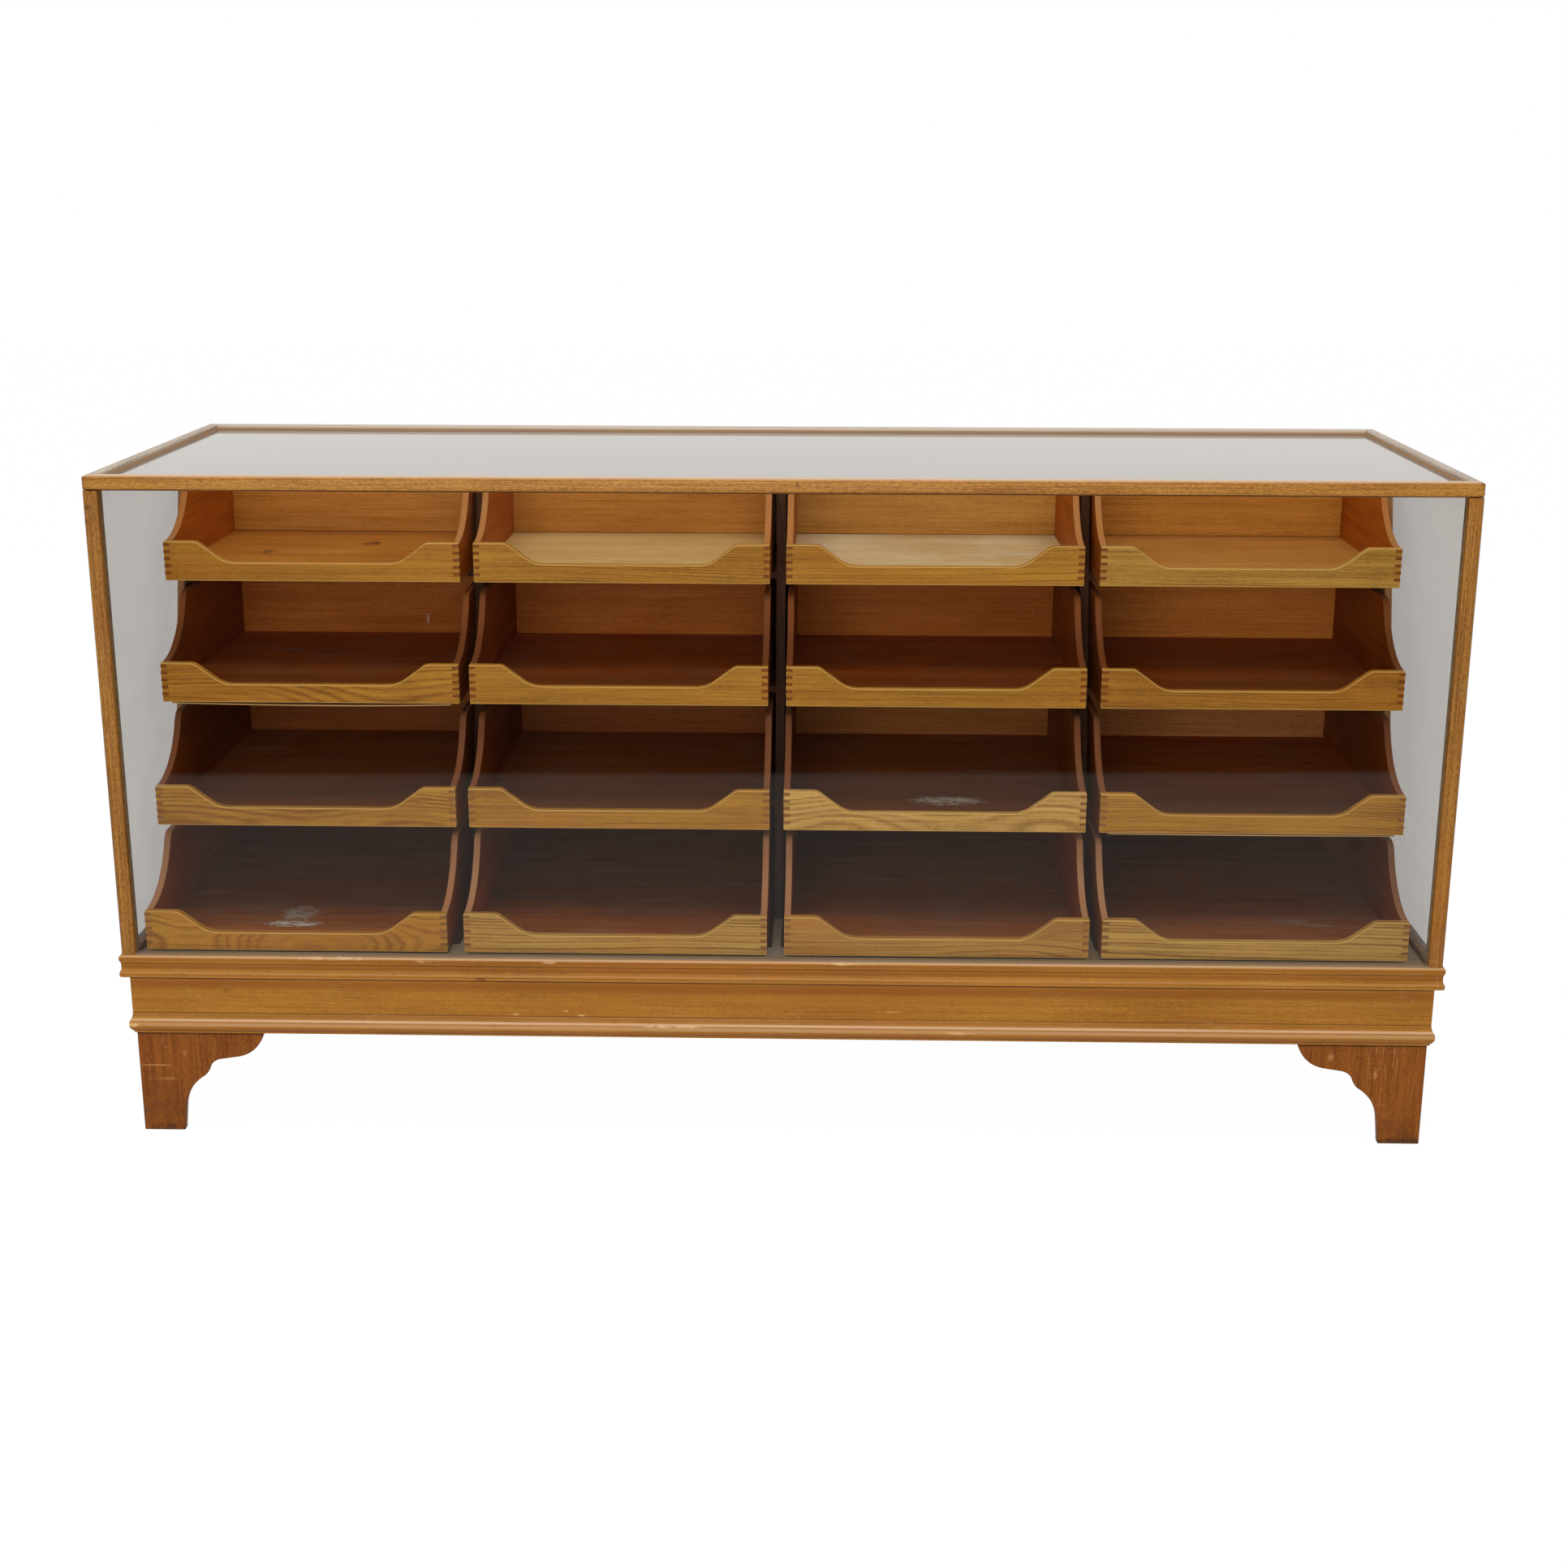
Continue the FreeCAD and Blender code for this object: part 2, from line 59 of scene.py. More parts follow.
class Wire:
    # An output socket; arithmetic with it adds Math nodes.
    def __init__(self, tree, socket=None):
        self.tree = tree
        self.socket = socket

    def node(self, kind, settings=None, sockets=None, out=0):
        made = self.tree.nodes.new("ShaderNode" + kind)
        for key, value in (settings or {}).items():
            setattr(made, key, value)
        for key, value in (sockets or {}).items():
            if isinstance(value, Wire):
                self.tree.links.new(value.socket, made.inputs[key])
            else:
                made.inputs[key].default_value = value
        return Wire(self.tree, made.outputs[out])

    def math(self, operation, *others, swapped=False):
        values = (*others, self) if swapped else (self, *others)
        return self.node("Math", {"operation": operation}, dict(enumerate(values)))

    def __add__(self, other):
        return self.math("ADD", other)

    def __radd__(self, other):
        return self.math("ADD", other, swapped=True)

    def __sub__(self, other):
        return self.math("SUBTRACT", other)

    def __rsub__(self, other):
        return self.math("SUBTRACT", other, swapped=True)

    def __mul__(self, other):
        return self.math("MULTIPLY", other)

    def __rmul__(self, other):
        return self.math("MULTIPLY", other, swapped=True)

    def __truediv__(self, other):
        return self.math("DIVIDE", other)

    def __rtruediv__(self, other):
        return self.math("DIVIDE", other, swapped=True)

    def __pow__(self, other):
        return self.math("POWER", other)

    def clamp(self, low=0.0, high=1.0):
        return self.node("Clamp", None, {0: self, 1: low, 2: high})

    def step(self, low, high):
        # 0 below low, 1 above high, smooth between
        return self.node("MapRange", {"interpolation_type": "SMOOTHSTEP"},
                         {0: self, 1: low, 2: high, 3: 0.0, 4: 1.0})

    def axis(self, index):
        return self.node("SeparateXYZ", None, {0: self}, out=index)

    def stretch(self, *scale):
        return self.node("VectorMath", {"operation": "MULTIPLY"}, {0: self, 1: scale})

    def shift(self, *offset):
        return self.node("VectorMath", {"operation": "ADD"}, {0: self, 1: offset})

    def noise(self, name):
        # The noise of that name in the table below, at this place.
        made = noises[name]
        place = self.stretch(*made["stretch"])
        if "offset" in made:
            place = place.shift(*made["offset"])
        value = self.node("TexNoise", None, {"Vector": place, "Scale": 1.0,
                                             "Detail": made["detail"], "Roughness": made["rough"]})
        return value.step(*made["cut"]) if "cut" in made else value

    def blend(self, first, second):
        # first where self is 0, second where it is 1; sockets 6, 7 and 2 are the colours
        return self.node("Mix", {"data_type": "RGBA"}, {0: self, 6: first, 7: second}, out=2)


# Stretch of the place in cells per metre, offset in cells; 0 below the first cut, 1 above
# the second. On boards the axes run along the grain, across it and into the board.
noises = dict(
    sway=dict(stretch=(1.7, 0.6, 0.6), detail=1, rough=0.4),
    dive=dict(stretch=(2.1, 0.8, 0.8), detail=1, rough=0.4, offset=(23.1, 4, 1.6)),
    waver=dict(stretch=(9, 60, 60), detail=2, rough=0.6),
    late=dict(stretch=(0.21, 3, 1), detail=2, rough=0.55, cut=(0.38, 0.66)),
    fibre=dict(stretch=(9, 620, 620), detail=3, rough=0.7),
    fine=dict(stretch=(5, 300, 300), detail=2, rough=0.6),
    streak=dict(stretch=(2.5, 95, 95), detail=2, rough=0.6),
    speck=dict(stretch=(170, 430, 430), detail=2, rough=0.7),
    blotch=dict(stretch=(5, 14, 14), detail=3, rough=0.6),
    fleck=dict(stretch=(70, 1500, 1500), detail=1, rough=0.5, cut=(0.57, 0.68)),
    warm=dict(stretch=(2.4, 9, 9), detail=2, rough=0.5, offset=(7.2, 72, 9),
              cut=(0.48, 0.66)),
    scratch=dict(stretch=(30, 900, 900), detail=1, rough=0.5, offset=(3.1, 7.7, 0),
                 cut=(0.62, 0.72)),
    cross=dict(stretch=(700, 26, 26), detail=1, rough=0.5, offset=(1.1, 5.2, 2),
               cut=(0.68, 0.78)),
    patch=dict(stretch=(11, 20, 20), detail=3, rough=0.6, offset=(9, 2, 4),
               cut=(0.5, 0.66)),
    dust=dict(stretch=(7, 9, 9), detail=5, rough=0.65, offset=(4, 1, 6),
              cut=(0.36, 0.72)),
    ragged=dict(stretch=(130, 160, 130), detail=4, rough=0.7),
    holes=dict(stretch=(60, 130, 90), detail=3, rough=0.6, offset=(2, 5, 1),
               cut=(0.46, 0.62)),
    smear=dict(stretch=(2.2, 2.2, 3), detail=4, rough=0.6),
)


def newMaterial(name):
    made = bpy.data.materials.new(name)
    made.use_nodes = True
    made.node_tree.nodes.clear()
    return made, Wire(made.node_tree)


def closeNodes(made, shader, kind="Material"):
    output = made.node_tree.nodes.new("ShaderNodeOutput" + kind)
    made.node_tree.links.new(shader.socket, output.inputs["Surface"])
    return made


def boardCoordinates(sheet, along):
    # Along the grain, across it and into the board. Modelled boards carry them in "grain".
    if along == "grain":
        return sheet.node("Attribute", {"attribute_name": "grain"}, out="Vector")
    place = sheet.node("TexCoord", out="Object")
    x, y, z = (place.axis(index) for index in range(3))
    if along == "case":
        # Mitred lengths: the front and rear ones are where y - x, both without sign, is over
        # the mitre's value.
        front = (y.math("ABSOLUTE") - x.math("ABSOLUTE")).math("GREATER_THAN", mitre)
        x, y = x * front + y * (1.0 - front), y * front + x * (1.0 - front)
        return place.node("CombineXYZ", None, {0: x, 1: z, 2: y})
    order = {"x": (x, z, y), "y": (y, z, x), "z": (z, x, y), "flat": (x, y, z)}[along]
    return place.node("CombineXYZ", None, dict(enumerate(order)))


mitre = -0.6                 # half the depth less half the width of the case
# Colours 0-255, ring space in mm, the rest in metres and shares
woodBase = dict(light=(178, 122, 38), dark=(130, 79, 19), pore=(84, 46, 10), edge=(196, 150, 82),
                ringSpace=2.6, heart=0.09, depth=0.03, loops=0.006, contrast=0.5, fine=0.9,
                fibre=0.5, streak=0.9, speck=0.9, pores=0.5, blotch=0.35, drift=0.0,
                driftColour=(176, 104, 30), rough=0.46, coat=0.03, coatRough=0.28, shine=0.1,
                bump=0.25, bumpDepth=0.0006, dust=0.0, dustColour=(150, 140, 128), scuffs=0.0,
                scuffColour=(206, 160, 110), wearShare=0.8, bands=(), marks=(), along="grain")
# What each noise adds to the tone, roughness and relief at full strength
toneGain = dict(fibre=2.4, fine=1.0, streak=1.0, speck=1.0, blotch=3.0)
roughGain = dict(fibre=0.18, blotch=0.2, dust=0.3)
roughRange = (0.15, 0.95)
reliefGain = dict(fibre=0.5, pores=-0.6, waver=0.3)
# How far the heart sways and dives in loops, the lines' waver in metres, the mean depth and
# tone of the rings, and the shares of a plain ring and of late wood
ring = dict(sway=1.6, dive=3.0, waver=0.0035, middle=0.3, mean=0.4, plain=0.35, late=0.65)
poreShare = (0.2, 0.8)       # of the pores, everywhere and in the rings
seedSpread = (7.13, 3.37, 5.71)
wearCloud = (0.3, 1.1)       # least wear, and what the blotches add
band = dict(core=0.2, least=0.35, cloud=1.3)   # core: share of the width at full strength
mark = dict(core=0.45, holes=0.85)


def addBands(colour, place, cloud, bands):
    # Each band (height, half width, strength, colour) tints what lies near its height in mm. Many
    # bands are painted highlights and painted shade lines.
    height = place.axis(2)
    for level, reach, strength, tint in bands:
        away = ((height - level * mm) / (reach * mm)).math("ABSOLUTE")
        near = 1.0 - away.step(band["core"], 1.0)
        share = (near * (band["least"] + cloud * band["cloud"]) * strength).clamp()
        colour = share.blend(colour, srgb(*tint))
    return colour


def addMarks(colour, place, marks):
    # Each mark (centre, radii, strength, raggedness, colour) is a soft egg round its centre.
    ragged = place.noise("ragged") - 0.5
    holes = place.noise("holes")
    for centre, radii, strength, rag, tint in marks:
        off = place.shift(*[-value for value in centre]).stretch(*[1.0 / value for value in radii])
        reach = off.node("VectorMath", {"operation": "LENGTH"}, {0: off}, out="Value")
        share = 1.0 - (reach + ragged * rag).step(mark["core"], 1.0)
        share = share * (1.0 - holes * min(rag, 1.0) * mark["holes"])
        colour = (share * strength).blend(colour, srgb(*tint))
    return colour


def growthRings(grain, seeded, look, loops, space):
    # Growth rings are circles round a heart that wanders along the board: the ring number is
    # sqrt(across squared + depth squared) over the ring space, where noise along the board
    # moves the heart across and changes its depth. A far, steady heart gives straight lines.
    # Returns the rings, 0 to 1, and the waver.
    sway, dive, waver = (seeded.noise(name) for name in ("sway", "dive", "waver"))
    across = grain.axis(1)
    if look["along"] != "grain":
        across = across + look["heart"]
    heart = across + (sway - 0.5) * loops * ring["sway"]
    depth = grain.axis(2) + look["depth"] + (dive - ring["middle"]) * loops * ring["dive"]
    radius = (heart * heart + depth * depth) ** 0.5 + waver * ring["waver"]
    turn = (radius / space) * (2.0 * math.pi)
    late = turn.node("CombineXYZ", None, {0: turn, 1: sway, 2: dive}).noise("late")
    line = (turn.math("SINE") * 0.5 + 0.5) ** 2.0
    return line * (ring["plain"] + late * ring["late"]) + late * ring["plain"], waver


def woodMaterial(name, **changes):
    look = {**woodBase, **changes}
    made, sheet = newMaterial(name)
    modelled = look["along"] == "grain"
    place = sheet.node("TexCoord", out="Object")
    grain = seeded = boardCoordinates(sheet, look["along"])
    loops, space = look["loops"], look["ringSpace"] * mm
    if modelled:
        # sort = loops, ring space and seed of each board
        sort = sheet.node("Attribute", {"attribute_name": "sort"}, out="Vector")
        loops, space, seed = (sort.axis(index) for index in range(3))
        offset = sort.node("CombineXYZ", None, {0: seed, 1: seed, 2: seed}).stretch(*seedSpread)
        seeded = grain.node("VectorMath", {"operation": "ADD"}, {0: grain, 1: offset})
    rings, waver = growthRings(grain, seeded, look, loops, space)
    texture = {part: seeded.noise(part) for part in toneGain}
    fibre, blotch = texture["fibre"], texture["blotch"]
    tone = (rings - ring["mean"]) * look["contrast"] + 0.5
    for part, gain in toneGain.items():
        tone = tone + (texture[part] - 0.5) * (gain * look[part])
    colour = tone.clamp().blend(srgb(*look["light"]), srgb(*look["dark"]))
    if look["drift"] > 0:
        warm = seeded.noise("warm") * look["drift"]
        colour = warm.blend(colour, srgb(*look["driftColour"]))
    pores = seeded.noise("fleck") * (poreShare[0] + rings * poreShare[1])
    colour = (pores * look["pores"]).blend(colour, srgb(*look["pore"]))
    if look["bands"]:
        cloud = texture["streak"] * 0.6 + blotch * 0.4
        colour = addBands(colour, place, cloud, look["bands"])
    if modelled:
        # wear is 1 on the eased edges
        wear = sheet.node("Attribute", {"attribute_name": "wear"}, out="Fac")
        worn = (wear * (wearCloud[0] + blotch * wearCloud[1])).clamp() * look["wearShare"]
        colour = worn.blend(colour, srgb(*look["edge"]))
    rough = look["rough"] + (fibre - 0.5) * roughGain["fibre"]
    rough = rough + (blotch - 0.5) * roughGain["blotch"]
    if look["scuffs"] > 0:
        scuff = (seeded.noise("scratch") + seeded.noise("cross")) * seeded.noise("patch")
        scuff = (scuff * look["scuffs"]).clamp()
        colour = scuff.blend(colour, srgb(*look["scuffColour"]))
    if look["dust"] > 0:
        film = (place.noise("dust") * look["dust"]).clamp()
        colour = film.blend(colour, srgb(*look["dustColour"]))
        rough = rough + film * roughGain["dust"]
    if look["marks"]:
        colour = addMarks(colour, place, look["marks"])
    relief = fibre * reliefGain["fibre"] + pores * reliefGain["pores"]
    relief = relief + waver * reliefGain["waver"]
    normal = sheet.node("Bump", None, {"Strength": look["bump"], "Distance": look["bumpDepth"],
                                       "Height": relief})
    shader = sheet.node("BsdfPrincipled", None, {
        "Base Color": colour, "Roughness": rough.clamp(*roughRange), "Normal": normal,
        "Coat Weight": look["coat"], "Coat Roughness": look["coatRough"],
        "Specular IOR Level": look["shine"]})
    return closeNodes(made, shader)


# film = (least, cloud share) of the dust seen square on, cut where it is patchy. gloss =
# (square on, power, share) of facing. A veil (top, fade, share, slope) is more film below the
# height top + slope times x, smear its (least, cloud share).
pane = dict(sheen=(0.9, 0.9, 0.9, 1.0), tint=(250, 252, 250), haze=(190, 187, 182), veil=None,
            cut=(0.35, 0.75), smear=(0.75, 0.5), rim=1.02)
panes = dict(
    front=dict(pane, film=(0.0, 0.0008), gloss=(0.0005, 5.0, 0.3),
               veil=(0.526, 0.005, 0.016, 0.010)),
    # The end panes' grey tint is partly dirt and partly painted reflection; their haze is dust.
    end=dict(pane, film=(0.04, 0.012), gloss=(0.01, 5.0, 0.3), tint=(229, 226, 226),
             haze=(232, 227, 222)),
    top=dict(pane, film=(0.01, 0.005), gloss=(0.03, 3.0, 1.3), sheen=(0.31, 0.25, 0.2, 1.0),
             haze=(205, 199, 191)),
)


def glassMaterial(side):
    # A clear sheet with gloss, and dust on each face. Seen aslant the dust thickens:
    # 1 - (1 - film) to the power 1 / (rim - facing), where facing is 1 at the rim.
    look = panes[side]
    made, sheet = newMaterial(side + "Pane")
    place = sheet.node("TexCoord", out="Object")
    cloud = place.noise("smear")
    least, clouded = look["film"]
    dirt = cloud.step(*look["cut"]) * clouded + least
    if look["veil"]:
        top, fade, share, slope = look["veil"]
        level = place.axis(2) - place.axis(0) * slope
        low = 1.0 - level.step(top - fade, top + fade)
        dirt = dirt + low * share * (look["smear"][0] + cloud * look["smear"][1])
    facing = sheet.node("LayerWeight", None, {"Blend": 0.5}, out="Facing")
    dirt = 1.0 - (1.0 - dirt) ** (1.0 / (look["rim"] - facing))
    square, power, rise = look["gloss"]
    shine = (facing ** power * rise + square).clamp()
    clear = sheet.node("BsdfTransparent", None, {"Color": srgb(*look["tint"])})
    mirror = sheet.node("BsdfPrincipled", None, {
        "Base Color": look["sheen"], "Metallic": 1.0, "Roughness": 0.05})
    dust = sheet.node("BsdfPrincipled", None, {
        "Base Color": srgb(*look["haze"]), "Roughness": 0.9, "Specular IOR Level": 0.1})
    lit = 1.0 - sheet.node("LightPath", out="Is Shadow Ray")
    glossy = sheet.node("MixShader", None, {0: shine * lit, 1: clear, 2: mirror})
    return closeNodes(made, sheet.node("MixShader", None, {0: dirt * lit, 1: glossy, 2: dust}))


view = dict(place=(0.0692, -3.0845, 1.3007), yaw=1.266, pitch=15.752, roll=0.123, lens=50.0,
            film=36.0, reach=60.0)


def makeCamera():
    # Looks along (-cos p sin y, cos p cos y, -sin p), then turns by the roll.
    yaw, pitch, roll = (math.radians(view[key]) for key in ("yaw", "pitch", "roll"))
    ahead = Vector((-math.cos(pitch) * math.sin(yaw), math.cos(pitch) * math.cos(yaw),
                    -math.sin(pitch)))
    right = Vector((math.cos(yaw), math.sin(yaw), 0.0))
    up = right.cross(ahead)
    tilted = right * math.cos(roll) + up * math.sin(roll)
    raised = up * math.cos(roll) - right * math.sin(roll)
    data = bpy.data.cameras.new("camera")
    data.lens = view["lens"]
    data.sensor_width = view["film"]
    data.clip_end = view["reach"]
    camera = bpy.data.objects.new("camera", data)
    turn = Matrix((tilted, raised, -ahead)).transposed().to_4x4()
    camera.matrix_world = Matrix.Translation(Vector(view["place"])) @ turn
    bpy.context.scene.collection.objects.link(camera)
    bpy.context.scene.camera = camera


lamps = dict(
    ceiling=dict(place=(0.0, -0.7, 3.4), aim=(0.0, 0.0, 0.5), size=3.0, watts=70.0),
    front=dict(place=(-0.5, -4.4, 1.3), aim=(0.0, 0.0, 0.55), size=2.4, watts=75.0),
)
skyLight = 0.46
# white is the share of the floor's glow that no shadow touches
paper = dict(half=14.0, drop=0.4 * mm, grey=0.82, glow=1.02, white=0.965)


def makeLamps():
    for name, lamp in lamps.items():
        data = bpy.data.lights.new(name, "AREA")
        data.shape = "SQUARE"
        data.size = lamp["size"]
        data.energy = lamp["watts"]
        made = bpy.data.objects.new(name, data)
        made.location = lamp["place"]
        toAim = Vector(lamp["aim"]) - Vector(lamp["place"])
        made.rotation_euler = toAim.to_track_quat("-Z", "Y").to_euler()
        bpy.context.scene.collection.objects.link(made)


def whiteRays(sheet):
    # 1 for rays that should see the white background
    path = sheet.node("LightPath")
    rays = [Wire(sheet.tree, path.socket.node.outputs[name]) for name in
            ("Is Camera Ray", "Is Glossy Ray", "Is Transmission Ray")]
    return (rays[0] + rays[1] + rays[2]).clamp()


def makeWorld():
    world = bpy.data.worlds.new("studio")
    world.use_nodes = True
    world.node_tree.nodes.clear()
    sheet = Wire(world.node_tree)
    strength = whiteRays(sheet) * (1.0 - skyLight) + skyLight
    glow = sheet.node("Background", None, {"Color": (1.0, 1.0, 1.0, 1.0), "Strength": strength})
    bpy.context.scene.world = closeNodes(world, glow, "World")


def makeFloor():
    half, level = paper["half"], -paper["drop"]
    mesh = bpy.data.meshes.new("floor")
    mesh.from_pydata([(-half, -half, level), (half, -half, level), (half, half, level),
                      (-half, half, level)], [], [(0, 1, 2, 3)])
    floor = bpy.data.objects.new("floor", mesh)
    bpy.context.scene.collection.objects.link(floor)
    made, sheet = newMaterial("floorPaper")
    plain = sheet.node("BsdfPrincipled", None, {
        "Base Color": (*[paper["grey"]] * 3, 1.0), "Roughness": 0.9, "Specular IOR Level": 0.1})
    glow = sheet.node("Emission", None, {"Color": (1.0, 1.0, 1.0, 1.0),
                                         "Strength": paper["glow"]})
    share = whiteRays(sheet) * paper["white"]
    shown = sheet.node("MixShader", None, {0: share, 1: plain, 2: glow})
    mesh.materials.append(closeNodes(made, shown))


def closedSweep(rings):
    # Rings of points joined by quads; both ends close on the middle of their ring.
    # Returns the points and the corners of the quads and of the end triangles.
    count, around = rings.shape[:2]
    points = np.concatenate([rings.reshape(-1, 3), rings[:1].mean(axis=1),
                             rings[-1:].mean(axis=1)])
    row = np.arange(count - 1)[:, None] * around
    column = np.arange(around)
    ahead = (column + 1) % around
    quads = np.stack([row + column, row + ahead, row + around + ahead, row + around + column], -1)
    quads = quads.reshape(-1, 4)
    first = np.full(around, count * around)
    last = (count - 1) * around
    fans = np.concatenate([np.stack([first, ahead, column], -1),
                           np.stack([first + 1, last + column, last + ahead], -1)])
    pieces = np.concatenate([quads[:, [0, 1, 2]], quads[:, [0, 2, 3]], fans])
    a, b, c = (points[pieces[:, index]] for index in range(3))
    if np.einsum("ij,ij->i", a, np.cross(b, c)).sum() < 0:   # volume tells inside from outside
        quads, fans = quads[:, ::-1], fans[:, ::-1]
    return points, (quads, fans)


supportGap = 0.5 * mm        # from a rounding to the row of points in the flat beside it
arcSteps = 3
ringPoints = 4 * (arcSteps + 3)
leastRound = 0.08            # share of the easing that end corners keep


def roundedRings(low, high, near, far, radius):
    # Rounded rectangles between low-high and near-far, one for each station, with a row of
    # points just inside each flat. Returns (stations, points, 2) and the rounding mask.
    turn = np.linspace(0, math.pi / 2, arcSteps + 1)
    ringA, ringB, mask = [], [], []
    for signA, signB, start in ((1, 1, 0), (-1, 1, 1), (-1, -1, 2), (1, -1, 3)):
        angle = turn + start * math.pi / 2
        cornerA = (high if signA > 0 else low) - signA * radius
        cornerB = (far if signB > 0 else near) - signB * radius
        arcA = cornerA[:, None] + radius[:, None] * np.cos(angle)
        arcB = cornerB[:, None] + radius[:, None] * np.sin(angle)
        beforeA, beforeB = arcA[:, 0], arcB[:, 0]
        afterA, afterB = arcA[:, -1], arcB[:, -1]
        if start % 2 == 0:       # the flat before runs along b, the one after along a
            beforeB = beforeB - signB * supportGap
            afterA = afterA - signA * supportGap
        else:
            beforeA = beforeA - signA * supportGap
            afterB = afterB - signB * supportGap
        ringA.append(np.column_stack([beforeA, arcA, afterA]))
        ringB.append(np.column_stack([beforeB, arcB, afterB]))
        mask += [0.0] + [1.0] * (arcSteps + 1) + [0.0]
    return np.stack([np.hstack(ringA), np.hstack(ringB)], -1), np.array(mask)


def slab(along, low, high, near, far, ease, axes, finish):
    # A board with eased edges: along its length it runs between low and high, and near and far.
    # axes names the world axes of length, width and thickness, such as "xzy".
    along = np.asarray(along, float)
    low, high, near, far = (np.broadcast_to(np.asarray(v, float), along.shape)
                            for v in (low, high, near, far))
    turn = np.linspace(0, math.pi / 2, arcSteps + 1)
    begin = along[0] + ease * (1 - np.sin(turn))[::-1]
    end = along[-1] - ease * (1 - np.sin(turn))
    shrink = ease * (1 - np.cos(turn))
    inner = along[(along > begin[-1] + supportGap) & (along < end[0] - supportGap)]
    stations = np.concatenate([[along[0]], begin, [begin[-1] + supportGap], inner,
                               [end[0] - supportGap], end, [along[-1]]])
    cut = np.concatenate([[ease + supportGap], shrink[::-1], np.zeros(len(inner) + 2), shrink,
                          [ease + supportGap]])
    bounds = [np.interp(stations, along, v) for v in (low, high, near, far)]
    radius = np.maximum(ease - cut, leastRound * ease)
    ring, mask = roundedRings(bounds[0] + cut, bounds[1] - cut, bounds[2] + cut,
                              bounds[3] - cut, radius)
    length = np.broadcast_to(stations[:, None, None], ring.shape[:2] + (1,))
    order = [axes.index(name) for name in "xyz"]
    points, faces = closedSweep(np.concatenate([length, ring], -1)[:, :, order])
    ends = (cut > 0) & (cut <= ease)
    wear = np.maximum(mask[None, :], ends[:, None] * 1.0).reshape(-1)
    return dict(points=points, faces=faces, grain=points[:, np.argsort(order)],
                wear=np.concatenate([wear, [0.0, 0.0]]), finish=finish)


def roundedPath(corners, steps=8):
    # The open line through corners (a, b, radius), each rounded by an arc.
    spots = np.array([corner[:2] for corner in corners], float)
    line = [spots[0]]
    for index in range(1, len(corners) - 1):
        back = spots[index - 1] - spots[index]
        ahead = spots[index + 1] - spots[index]
        back, ahead = back / np.linalg.norm(back), ahead / np.linalg.norm(ahead)
        half = math.acos(float(np.clip(back @ ahead, -1, 1))) / 2
        radius = corners[index][2]
        reach = radius / math.tan(half)
        middle = (back + ahead) / np.linalg.norm(back + ahead) * radius / math.sin(half)
        centre = spots[index] + middle
        start = spots[index] + back * reach - centre
        end = spots[index] + ahead * reach - centre
        share = np.linspace(0, 1, steps + 1)[:, None]
        sweep = math.pi - 2 * half
        arc = (np.sin((1 - share) * sweep) * start + np.sin(share * sweep) * end) / math.sin(sweep)
        line += list(centre + arc)
    line.append(spots[-1])
    return np.array(line)


plainFigure = (0.008, 2.6, 90.0)      # loops, ring space and heart's place in mm


def makePiece(name, shells, finishes, body, stands=()):
    # Joins shells into one object; each shell names its finish, or that of each face.
    kinds = list(finishes)
    figures = [shell.get("figure", plainFigure) for shell in shells]
    grain = np.concatenate([shell["grain"] - shell["grain"].mean(axis=0) + (0, figure[2] * mm, 0)
                            for shell, figure in zip(shells, figures)])
    sort = np.concatenate([np.tile((figure[0], figure[1] * mm, rng.uniform(0.0, 9.0)),
                                   (len(shell["points"]), 1))
                           for shell, figure in zip(shells, figures)])
    faces, indices, offset = [], [], 0
    for shell in shells:
        named, begun = shell["finish"], len(faces)
        for corners in shell["faces"]:
            faces += (corners + offset).tolist()
        named = [named] * (len(faces) - begun) if isinstance(named, str) else named
        indices += [kinds.index(finish) for finish in named]
        offset += len(shell["points"])
    mesh = bpy.data.meshes.new(name)
    mesh.from_pydata(np.concatenate([shell["points"] for shell in shells]).tolist(), [], faces)
    mesh.polygons.foreach_set("material_index", np.array(indices, dtype=np.int32))
    mesh.polygons.foreach_set("use_smooth", np.ones(len(faces), dtype=bool))
    wear = np.concatenate([shell["wear"] for shell in shells])
    for key, kind, field, values in (("grain", "FLOAT_VECTOR", "vector", grain),
                                     ("sort", "FLOAT_VECTOR", "vector", sort),
                                     ("wear", "FLOAT", "value", wear)):
        mesh.attributes.new(key, kind, "POINT").data.foreach_set(field, values.ravel())
    for finish in finishes.values():
        mesh.materials.append(finish)
    mesh.update()
    made = bpy.data.objects.new(name, mesh)
    bpy.context.scene.collection.objects.link(made)
    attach(made, body)
    if stands:
        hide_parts(*stands)


def paintNode(name, finish):
    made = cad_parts[name]
    if not made.material_slots:
        made.data.materials.append(finish)
    for place in made.material_slots:
        place.material = finish


drawer = dict(width=415 * mm, frontThick=12 * mm, frontHeight=55.5 * mm, flat=46 * mm,
              slope=40 * mm, dip=29.5 * mm, dipTopRound=14 * mm, dipFootRound=40 * mm,
              side=9 * mm, height=135 * mm, sweep=116 * mm, sweepStart=76.5 * mm,
              sweepRun=38.8 * mm, topRound=20 * mm, sideLap=0.5 * mm, bottom=4 * mm,
              bottomLift=12 * mm, bottomEase=0.2 * mm, housed=0.5 * mm, faceThick=12 * mm,
              faceDrop=3.5 * mm, faceEase=2.5 * mm, ease=1.2 * mm, rows=4, columns=4,
              frontStations=40, sheetStations=12)
finger = dict(count=5, height=4.6 * mm, pitch=10 * mm, margin=9 * mm, proud=0.05 * mm,
              ease=0.25 * mm)
drawerTag = "drawer_r%dc%d"
# mm that each tray sits off the middle of its face, rows from the top
trayShift = [(-1.8, -3.1, -1.2, 0.0), (2.6, -3.5, 0.3, 0.0),
             (3.5, 0.3, -1.3, -3.4), (-3.5, -1.2, 1.3, -2.2)]
